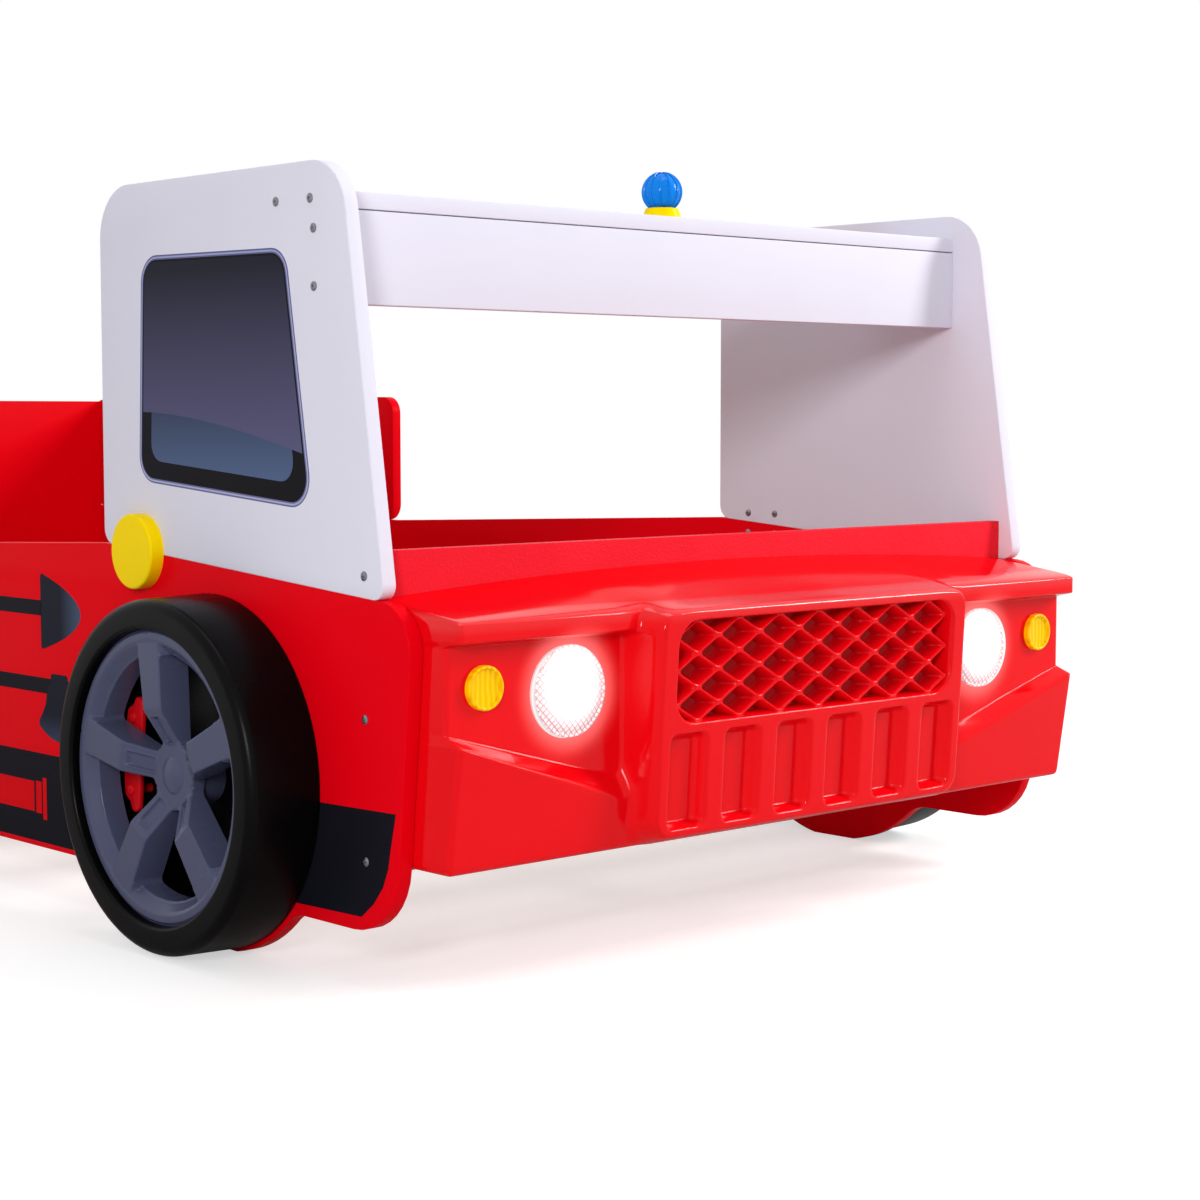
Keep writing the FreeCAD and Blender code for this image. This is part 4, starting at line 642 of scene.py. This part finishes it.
def lamps():
    """Headlight lenses with a rim and a shallow dome, and turn signals with a rim and a flat face."""
    sink = 1.5
    t = 1 - np.linspace(0, 1, 16)[:, None] ** 0.8
    dome = np.column_stack([40.5 * t, 4 + 4 * np.sqrt(1 - t ** 2)])
    lens = np.vstack([[(0, 0), (LAMP_RADIUS, 0)], arc((LAMP_RADIUS - 1.4, 3.6), 1.4, 0, 150, 6),
                      [(40.8, 3.6)], dome])
    signal = np.vstack([[(0, -1), (SIGNAL_RADIUS, -1)], arc((SIGNAL_RADIUS - 1.8, 6.2), 1.8, 0, 160, 7),
                        [(17.2, 5.4), (16.6, 5.2), (0, 5.8)]])
    for label, side in SIDES:
        for name, profile, x, z, finish, slot in (
                ("headlight_lens", lens, LAMP_X, LAMP_Z, LIT_LENS, "lens_clear"),
                ("turn_signal", signal, SIGNAL_X, SIGNAL_Z, SIGNAL_LENS, "signal_yellow")):
            points, faces = lathe(profile, 72, "y")
            place = np.array([side * x, BED_FRONT - BAY_DEPTH + sink, z])
            node = f"{name}_{label}"
            make(node + "_moulding", (points * np.array([1, -1, 1]) + place, faces), finish, [node])


# Wheels

SPOKES, SPOKE_TURN = 5, math.radians(95)
SECTOR = math.pi / SPOKES
RIM_RADIUS, HUB_INNER, GAP_MIDDLE = 146.7, 16, 84
RIM_BACK, RIM_FACE = 36, 70


def spin(turn):
    """The matrix of a turn in the plane, in radians."""
    return np.array([[math.cos(turn), -math.sin(turn)], [math.sin(turn), math.cos(turn)]])


def spoke_side(along, half):
    """The point on a spoke's side that lies this far along the spoke and this far from its middle line."""
    return (along * math.cos(SECTOR) + half * math.sin(SECTOR),
            along * math.sin(SECTOR) - half * math.cos(SECTOR))


def gap_outline():
    """The opening between two spokes, about the u axis: its sides taper, its far side follows the barrel."""
    (u0, v0), (u1, v1) = spoke_side(33, 14.5), spoke_side(121.6, 18.5)
    barrel = arc((0, 0), 123, -20, 20, 6)
    corners = [(u0, -v0, 6), (u1, -v1, 5), *((u, v, None) for u, v in barrel), (u1, v1, 5), (u0, v0, 6)]
    half_corner = 4
    return spaced(np.roll(rounded(corners), -half_corner, 0), 240)


def sector_edge(outline):
    """Where rays from a gap's middle through its outline leave the sector of the wheel that holds it.

    A ray c + t r meets a circle of radius R at t = -b +- sqrt(b^2 - |c|^2 + R^2), where b = r . c.
    """
    centre = np.array([GAP_MIDDLE, 0.0])
    ray = outline - centre
    ray /= np.linalg.norm(ray, axis=1, keepdims=True)
    b = ray @ centre
    spare = b ** 2 - centre @ centre
    reach = -b + np.sqrt(spare + RIM_RADIUS ** 2)
    normal = np.column_stack([np.full(len(ray), -math.sin(SECTOR)), np.sign(ray[:, 1]) * math.cos(SECTOR)])
    across = (ray * normal).sum(1)
    tiny = 1e-9
    to_side = centre[0] * math.sin(SECTOR) / np.maximum(across, tiny)
    reach = np.minimum(reach, np.where(across > tiny, to_side, np.inf))
    root = spare + HUB_INNER ** 2
    to_hub = -b - np.sqrt(np.maximum(root, 0))
    reach = np.minimum(reach, np.where((root >= 0) & (b < 0), to_hub, np.inf))
    edge = centre + ray * reach[:, None]

    # The nearest points go to the sector's four corners
    for radius in (RIM_RADIUS, HUB_INNER):
        for sign in (-1, 1):
            corner = radius * np.array([math.cos(SECTOR), sign * math.sin(SECTOR)])
            edge[np.argmin(np.linalg.norm(edge - corner, axis=1))] = corner
    return edge


def spoke_height(points):
    """Height of the rim's face: spokes level at first, then diving to the hub, with a framed pocket each."""
    radius = np.linalg.norm(points, axis=-1)
    angle = np.abs(np.arctan2(points[..., 1], points[..., 0]))
    aside = radius * np.abs(np.sin(SECTOR - angle))
    along = radius * np.cos(SECTOR - angle)
    lip_inner = 134
    lip = 0.8 * ease((radius - lip_inner) / 3) - 3 * ease((radius - 142.5) / 4)
    dive = 20 * bevel((66 - along) / 34, 0.08)
    web = 10 * bevel((lip_inner - radius) / 10, 0.15) * bevel((aside - 19) / 3)
    pocket = inside(5, 10 - aside, 62 - along, along - 30)
    framed = 1.2 * bevel(pocket / 1.2) - 4.2 * bevel((pocket - 2.4) / 1.6)
    return RIM_FACE + lip - (dive + web) + framed


def rim_shape():
    """Five like sectors, each with rings of points from its back up the gap's wall and over the spokes."""
    gap = gap_outline()
    edge = sector_edge(gap)
    span = np.linalg.norm(edge - gap, axis=1, keepdims=True)
    towards = (edge - gap) / span

    # Rings along the back, up the gap's wall, over its lip and on to the sector's edge
    back = np.full(len(gap), float(RIM_BACK))
    lip = 2
    flats = [edge, gap] + [gap + towards * out for out in (0, 0.25, 0.9, lip)]
    heights = [back, back] + [spoke_height(flats[-1]) - drop for drop in (lip, 1.1, 0.35, 0)]
    for share in np.linspace(0.03, 1, 36):
        flats.append(gap + towards * (lip + (span - lip) * share))
        heights.append(spoke_height(flats[-1]))
    rings = np.stack([np.column_stack([flat, height]) for flat, height in zip(flats, heights)])

    # A band closes each sector where its edge runs along the rim or the hub
    count, size = rings.shape[:2]
    closing = np.zeros(size, bool)
    for radius in (RIM_RADIUS, HUB_INNER):
        on_circle = np.abs(np.linalg.norm(edge, axis=1) - radius) < 0.01
        closing |= on_circle & np.roll(on_circle, -1)
    last = (count - 1) * size
    here = np.arange(size)
    ahead = (here + 1) % size
    band = np.stack([last + here, last + ahead, ahead, here], -1)[closing].tolist()
    faces = net(count, size, close_columns=True) + band
    sectors = []
    for i in range(SPOKES):
        flat = rings[:, :, :2] @ spin(SPOKE_TURN + SECTOR * (2 * i + 1)).T
        points = np.concatenate([flat, rings[:, :, 2:]], -1)[:, :, ORDER["x"]]
        sectors.append((points.reshape(-1, 3), faces))
    cap = np.radians(np.linspace(8, 90, 12))
    hub = np.vstack([[(0, 8), (31, 8), (31, 47)], arc((29, 47.5), 2, 0, 90, 5),
                     [(24, 49.5), (22, 48), (20.4, 48)],
                     np.column_stack([20 * np.cos(cap), 48 + 6 * np.sin(cap)])])
    return join(*sectors, lathe(hub, 64, "x"))


def caliper_shape():
    """A brake caliper with stepped ends, on two domed bolts that stand in the wheel's back plate."""
    half = [(90, 56, 6), (102, 63, 7), (108, 51, 5), (118, 46, 8), (121, 24, 12)]
    corners = [(u, -v, r) for u, v, r in half] + half[::-1]
    turned = spin(math.radians(175))
    body = plate(rounded(corners) @ turned.T, 25, 31, 2, "x")
    dome = np.vstack([[(0, 8), (5, 8), (5, 29), (6, 29), (6, 31.5)], arc((4, 31.5), 2, 0, 90, 5), [(0, 34)]])
    bolts = []
    for aside in (-38, 38):
        y, z = turned @ np.array([106, aside])
        bolts.append(move(lathe(dome, 32, "x"), 0, y, z))
    return join(body, *bolts)


def wheels():
    """Four wheels: a tyre with its black back, a rim with five spokes and a red caliper behind it."""
    tyre = rounded([(4.2, 0, None), (178.5, 0, 2), (176, 79, 10), (147, 79, 4), (147, 8, None),
                    (4.2, 8, None)], 12)
    shapes = (("tyre", lathe(tyre, 160, "x", closed=True), TYRE_BLACK, "tyre_black"),
              ("rim", rim_shape(), RIM_GREY, "rim_grey"),
              ("caliper", caliper_shape(), CALIPER_RED, "caliper_red"))
    for label, side in SIDES:
        for end, axle in AXLES:
            for name, shape, finish, slot in shapes:
                node = f"{name}_{end}_{label}"
                make(node + "_moulding", move(face_side(shape, side), side * BOARD_OUT, axle, WHEEL_HEIGHT),
                     finish, [node])


# Discs and beacon

def discs_and_beacon():
    """Thick connecting discs, and a ball with twelve ribs on a flared foot."""
    disc = np.vstack([[(0, 0), (39, 0)], arc((36.5, 12.5), 2.5, 0, 90, 8), [(33, 15), (0, 15)]])
    for label, side in SIDES:
        shape = move(face_side(lathe(disc, 96, "x"), side), side * BOARD_OUT, DISC_Y, DISC_Z)
        make(f"disc_moulding_{label}", shape, DISC_YELLOW, [f"connecting_disc_{label}"])
    foot = np.vstack([[(0, 0), (21, 0), (21, 1)], arc((16.8, 9.6), 1.2, 15, 90, 6), [(0, 10.8)]])
    make("beacon_foot", move(lathe(foot, 96, "z"), 0, BEACON_Y, SHELF_TOP), DISC_YELLOW,
         ["beacon_base"])

    # The ball: ribs round it, on a radius that shrinks a little near the top
    turn = np.linspace(0, 2 * np.pi, 288, endpoint=False)[:, None]
    tilt = np.radians(np.linspace(-52, 90, 48))[None]
    pitch, first_rib, crest = 30, 10, 20.6
    aside = np.abs((np.degrees(turn) - first_rib + pitch / 2) % pitch - pitch / 2)
    radius = 20.2 + 1.8 * ease(1.6 - aside / 2.5)
    radius = radius * (1 - 0.03 * ease((np.degrees(tilt) - 70) / 20))
    ball = np.stack([radius * np.cos(tilt) * np.cos(turn), radius * np.cos(tilt) * np.sin(turn),
                     radius * np.sin(tilt)], -1)
    ball[:, -1, :2] = 0
    ball[:, -1, 2] = crest
    rows, columns = ball.shape[:2]
    bottom = (np.arange(rows) * columns)[::-1].tolist()
    shape = ball.reshape(-1, 3), net(rows, columns, close_rows=True) + [bottom]
    make("beacon_ball", move(shape, 0, BEACON_Y, BEACON_Z), BEACON_BLUE, ["beacon_dome"])


# Fasteners

def screw_head(radius, height, cross):
    """A low domed head: h (1 - 0.6 (r / R)^2), with a cross of arms sunk into it."""
    rings = np.array([0, 0.35, 0.7, 0.9, 1.2, 1.6, 2.0, 2.3, 2.6, 3.2, 3.8, 4.2, 4.5]) / 4.5 * radius
    turn = np.linspace(0, 2 * np.pi, 40, endpoint=False)[:, None]
    u, v = rings * np.cos(turn), rings * np.sin(turn)
    arm = np.maximum(inside(0.5, cross - np.abs(u), 4 * cross - np.abs(v)),
                     inside(0.5, cross - np.abs(v), 4 * cross - np.abs(u)))
    dome = height * (1 - 0.6 * (rings / radius) ** 2) - 0.6 * height * ease(arm / 0.3)
    top = np.stack([u, v, dome], -1)
    foot = top[:, -1:].copy()
    foot[:, :, 2] = -1
    grid = np.concatenate([top, foot], 1)
    rows, columns = grid.shape[:2]
    bottom = (np.arange(rows) * columns + columns - 1).tolist()
    return grid.reshape(-1, 3), net(rows, columns, close_rows=True) + [bottom]


def heads(shape, places, axis, sign):
    """Copies of a head at these places, each facing along one axis or against it."""
    points = shape[0] * np.array([1, 1, sign])
    return [move((points[:, ORDER[axis]], shape[1]), *place) for place in places]


def fasteners():
    """Screw heads on the outside and inside of the boards, and bolt heads behind the wheels."""
    head, bolt = screw_head(4.5, 2, 0.55), screw_head(8, 4, 0.9)
    outer = [(-875, 737), (-820, 737), (-880, 655), (-880, 709), (-954, 387), (-954, 121), (-954, 254),
             (1072, 121), (1072, 311), (1072, 418), (1072, 508)]
    rail = [(-826, 148), (944, 148)]
    disc = [(DISC_Y + a * 23.5, DISC_Z + b * 13) for a in (-1, 1) for b in (-1, 1)]
    panel, connecting, axle, nose = [], [], [], []
    for label, side in SIDES:
        panel += heads(head, [(side * BOARD_OUT, y, z) for y, z in outer], "x", side)
        panel += heads(head, [(side * (BOARD_IN - RAIL_WIDTH), y, z) for y, z in rail], "x", -side)
        connecting += heads(head, [(side * BOARD_IN, y, z) for y, z in disc], "x", -side)
        axle += heads(bolt, [(side * BOARD_IN, y, WHEEL_HEIGHT) for end, y in AXLES], "x", -side)
        nose += heads(head, [(side * 403.5, WELL_FRONT, z) for z in (145, 322)], "y", 1)
    for name, shapes in (("panel_screws", panel), ("disc_screws", connecting), ("wheel_bolts", axle),
                         ("fascia_screws", nose)):
        make(name + "_heads", join(*shapes), ZINC, [name])


# Prints on the outside of the boards

def print_on(name, outlines, layer, finish):
    """A printed shape on both outer faces, one thin film above the last."""
    film = 0.12
    for label, side in SIDES:
        low, high = sorted((side * BOARD_OUT, side * (BOARD_OUT + film * layer)))
        shapes = [plate(outline, low, high, 0, "x") for outline in outlines]
        make(f"{name}_{label}", join(*shapes), finish)


def pane_edge(y):
    """The line between the two panes: level at the rear, then lower by fall t^1.6 towards the front."""
    level, fall, rear, length = 538, 39, -582.5, 274.5
    return level - fall * np.clip((rear - y) / length, 0, 1.2) ** 1.6


def cut_pane(outline, above):
    """The part of a pane's outline above or below the line between the panes, closed along that line."""
    keep = (outline[:, 1] > pane_edge(outline[:, 0])) == above
    first = np.flatnonzero(keep & ~np.roll(keep, 1))[0]
    run = np.roll(outline, -first, 0)[np.roll(keep, -first)]
    y = np.linspace(run[-1, 0], run[0, 0], 30)
    return np.concatenate([run, np.column_stack([y, pane_edge(y)])])


def window_print():
    """A side window: a two-tone frame line, black surround and two panes, each with its own fade."""
    corners = [(-875.5, 444.6), (-571, 467.3), (-580.6, 697.4), (-835, 693.6)]
    frame_edge = spaced(rounded([(y, z, 28) for y, z in corners]), 400)
    rounder_edge = spaced(rounded([(y, z, 42) for y, z in corners]), 400)
    slate = ink("slate_print", "#6d6d92", "#62628a", "Z", 450, 700)
    lavender = ink("lavender_print", "#a9add6", "#9a9ec8", "Z", 450, 700)
    black = ink("black_print", "#171519", "#1b191e", "Z", 450, 700)
    upper = ink("dusk_print", "#5a587a", "#24262f", "Z", 500, 680)
    lower = ink("sky_print", "#55668a", "#3a445c", "Z", 465, 540)
    print_on("window_frame_print", [frame_edge], 1, slate)
    print_on("window_line_print", [inset(frame_edge, 1.6)], 2, lavender)
    print_on("window_edge_print", [inset(frame_edge, 3.4)], 3, slate)
    print_on("window_surround_print", [inset(frame_edge, 4.8)], 4, black)
    print_on("window_upper_print", [cut_pane(inset(frame_edge, 7), True)], 5, upper)
    print_on("window_lower_print", [cut_pane(inset(rounder_edge, 23), False)], 5, lower)


def tool_prints():
    """The lower side: a dark band between the wheels and round the nose, a shovel, an axe and a hose."""
    between = [(-610, 60), (690, 60), (690, 160), (-610, 160)]
    nose = [(-780, 64), (-946, 68), (-965, 83), (-979, 100), (-987, 118), (-991, 137), (-999, 171),
            (-780, 166)]
    band = [np.array(between, float), np.array(nose, float)]
    red = ink("red_print", "#d8000f", "#d8000f", "Z", 60, 160)
    print_on("band_print", band, 1, NAVY_INK)

    # Shovel blade, a parabola with two small shoulders
    t = np.linspace(0.99, -0.99, 60)
    leaf = np.column_stack([-366 - 82 * (1 - t ** 2), 319 + 42 * t])
    blade = np.concatenate([leaf, arc((-367, 281), 4, 270, 360, 6), arc((-367, 357), 4, 0, 90, 6)])
    steel = ink("shovel_print", "#46536c", "#1c1e2a", "Y", -447, -405)
    print_on("shovel_blade_print", [spaced(blade, 160)], 1, steel)

    # The shovel's shaft and grip, and the axe's helve
    shaft = rounded([(-364, 314, None), (140, 314, None), (140, 331, None), (-364, 331, None)])
    grip = rounded([(140, 288, 8), (160, 288, 8), (160, 357, 8), (140, 357, 8)])
    helve = rounded([(-427, 228, 2), (70, 228, None), (92, 222, 6), (92, 250, 6), (70, 245, None),
                     (-427, 245, 2)])
    print_on("handle_print", [shaft, grip, helve], 1, NAVY_INK)

    # Axe head, its cutting edge a parabola
    y = np.linspace(-447, -357, 30)
    cutting = np.column_stack([y, 176 + 15 * ((y + 402) / 45) ** 2])
    head = np.concatenate([cutting, [(-356, 197), (-364, 206), (-371, 217), (-374, 230)],
                           rounded([(-376, 251, 4), (-426, 251, 4), (-400, 230, None)])[:18],
                           [(-428, 230), (-432, 217), (-439, 206), (-447, 197)]])
    iron = ink("axe_print", "#3b465e", "#1c1e2a", "Z", 168, 205)
    print_on("axe_head_print", [head], 2, iron)

    # Hose between two ringed ends
    boxes = [(-342, 93, -40, 127), (-358, 92, -346, 128), (-369, 86, -361, 133),
             (-36, 92, -24, 128), (-21, 86, -14, 133)]
    hose = [np.array([(a, b), (c, b), (c, d), (a, d)], float) for a, b, c, d in boxes]
    print_on("hose_print", hose, 2, red)


# Nodes that keep their own shape

def dress_nodes():
    """Finishes for the nodes shown as they come: battery box, switch, dowels and the inside of the lamps."""
    knob = moulded("red_switch_abs", "#c8141c", "#b81018", 0.35, 0.8, 0.05)
    cell = moulded("printed_cell_sleeve", "#2a5a3a", "#244e33", 0.35, 1.0, 0.02)
    finishes = {"battery_box": BOX_BLACK, "battery_lid": BOX_BLACK, "switch_knob": knob,
                "battery_cells": cell, "guard_dowels": PINE}
    for label, side in SIDES:
        finishes[f"headlight_housing_{label}"] = LAMP_WHITE
        finishes[f"headlight_led_{label}"] = LAMP_WHITE
    for name, finish in finishes.items():
        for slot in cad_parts[name].material_slots:
            slot.material = finish


# Stage

def stage():
    """A pale floor, soft lamps from the front and above, a white surround and the camera."""
    scene = bpy.context.scene
    scene.view_settings.view_transform = "Standard"
    world = bpy.data.worlds.new("white_studio")
    scene.world = world
    world.use_nodes = True
    tree = world.node_tree

    # The surround looks white, and lights the bed at about half of that
    path = add(tree, "ShaderNodeLightPath", {}, {})
    seen = add(tree, "ShaderNodeMath", {"operation": "MAXIMUM"},
               {0: path["Is Camera Ray"], 1: path["Is Glossy Ray"]})
    seen = add(tree, "ShaderNodeMath", {"operation": "MAXIMUM"},
               {0: seen["Value"], 1: path["Is Transmission Ray"]})
    glow = add(tree, "ShaderNodeMapRange", {}, {"Value": seen["Value"], "To Min": 0.54, "To Max": 1})
    tree.links.new(glow["Result"], tree.nodes["Background"].inputs["Strength"])
    tree.nodes["Background"].inputs["Color"].default_value = (1, 1, 1, 1)

    # The floor is lifted for the camera alone, and fades out round the bed
    floor_finish, tree, shader, place = surface("white_paper_sweep", Roughness=0.9, Specular_IOR_Level=0,
                                                Base_Color=linear("#d2d2d2"), Emission_Color=(1, 1, 1, 1))
    path = add(tree, "ShaderNodeLightPath", {}, {})
    lift = add(tree, "ShaderNodeMath", {"operation": "MULTIPLY"}, {0: path["Is Camera Ray"], 1: 0.55})
    away = add(tree, "ShaderNodeVectorMath", {"operation": "LENGTH"}, {0: place})
    fade = add(tree, "ShaderNodeMapRange", {"interpolation_type": "SMOOTHSTEP"},
               {"Value": away["Value"], "From Min": 1.4, "From Max": 3.2, "To Min": 1, "To Max": 0})
    feed(tree, shader, Emission_Strength=lift["Value"], Alpha=fade["Result"])
    mesh = bpy.data.meshes.new("floor")
    half, level = 30, -0.0005
    corners = [(-half, -half, level), (half, -half, level), (half, half, level), (-half, half, level)]
    mesh.from_pydata(corners, [], [(0, 1, 2, 3)])
    mesh.materials.append(floor_finish)
    floor = bpy.data.objects.new("floor", mesh)
    scene.collection.objects.link(floor)

    # Lamps by place, aim and size in metres, and power in watts
    for name, spot, aim, size, power in (
            ("key", (3.0, -2.85, 2.3), (0, -1.0, 0.3), (1.0, 1.4), 118),
            ("fill", (-3.5, -3.5, 1.6), (-0.2, -0.6, 0.4), (0.8, 0.8), 80),
            ("top", (0, -0.9, 4.2), (0, -0.6, 0), (2.0, 2.0), 30)):
        lamp = bpy.data.lights.new(name, "AREA")
        lamp.shape = "RECTANGLE"
        lamp.size, lamp.size_y = size
        lamp.energy = power
        holder = bpy.data.objects.new(name, lamp)
        scene.collection.objects.link(holder)
        holder.location = spot
        holder.rotation_mode = "QUATERNION"
        towards = Vector(aim) - Vector(spot)
        holder.rotation_quaternion = towards.to_track_quat("-Z", "Y")

    # The photo's camera: its focal length and width in pixels, its dip below level and its turn from +Y
    focal_pixels, photo_width, dip, turn = 2363.2459, 1200, 0.0779, -0.7464
    lens = bpy.data.cameras.new("camera")
    lens.sensor_width = 36
    lens.lens = focal_pixels / photo_width * 36
    camera = bpy.data.objects.new("camera", lens)
    scene.collection.objects.link(camera)
    camera.location = (-1.7879, -2.6942, 0.5344)
    camera.rotation_euler = (math.pi / 2 - dip, 0, turn)
    scene.camera = camera


boards()
slatted_base()
fascia()
lattice()
lamps()
wheels()
discs_and_beacon()
fasteners()
window_print()
tool_prints()
dress_nodes()
stage()
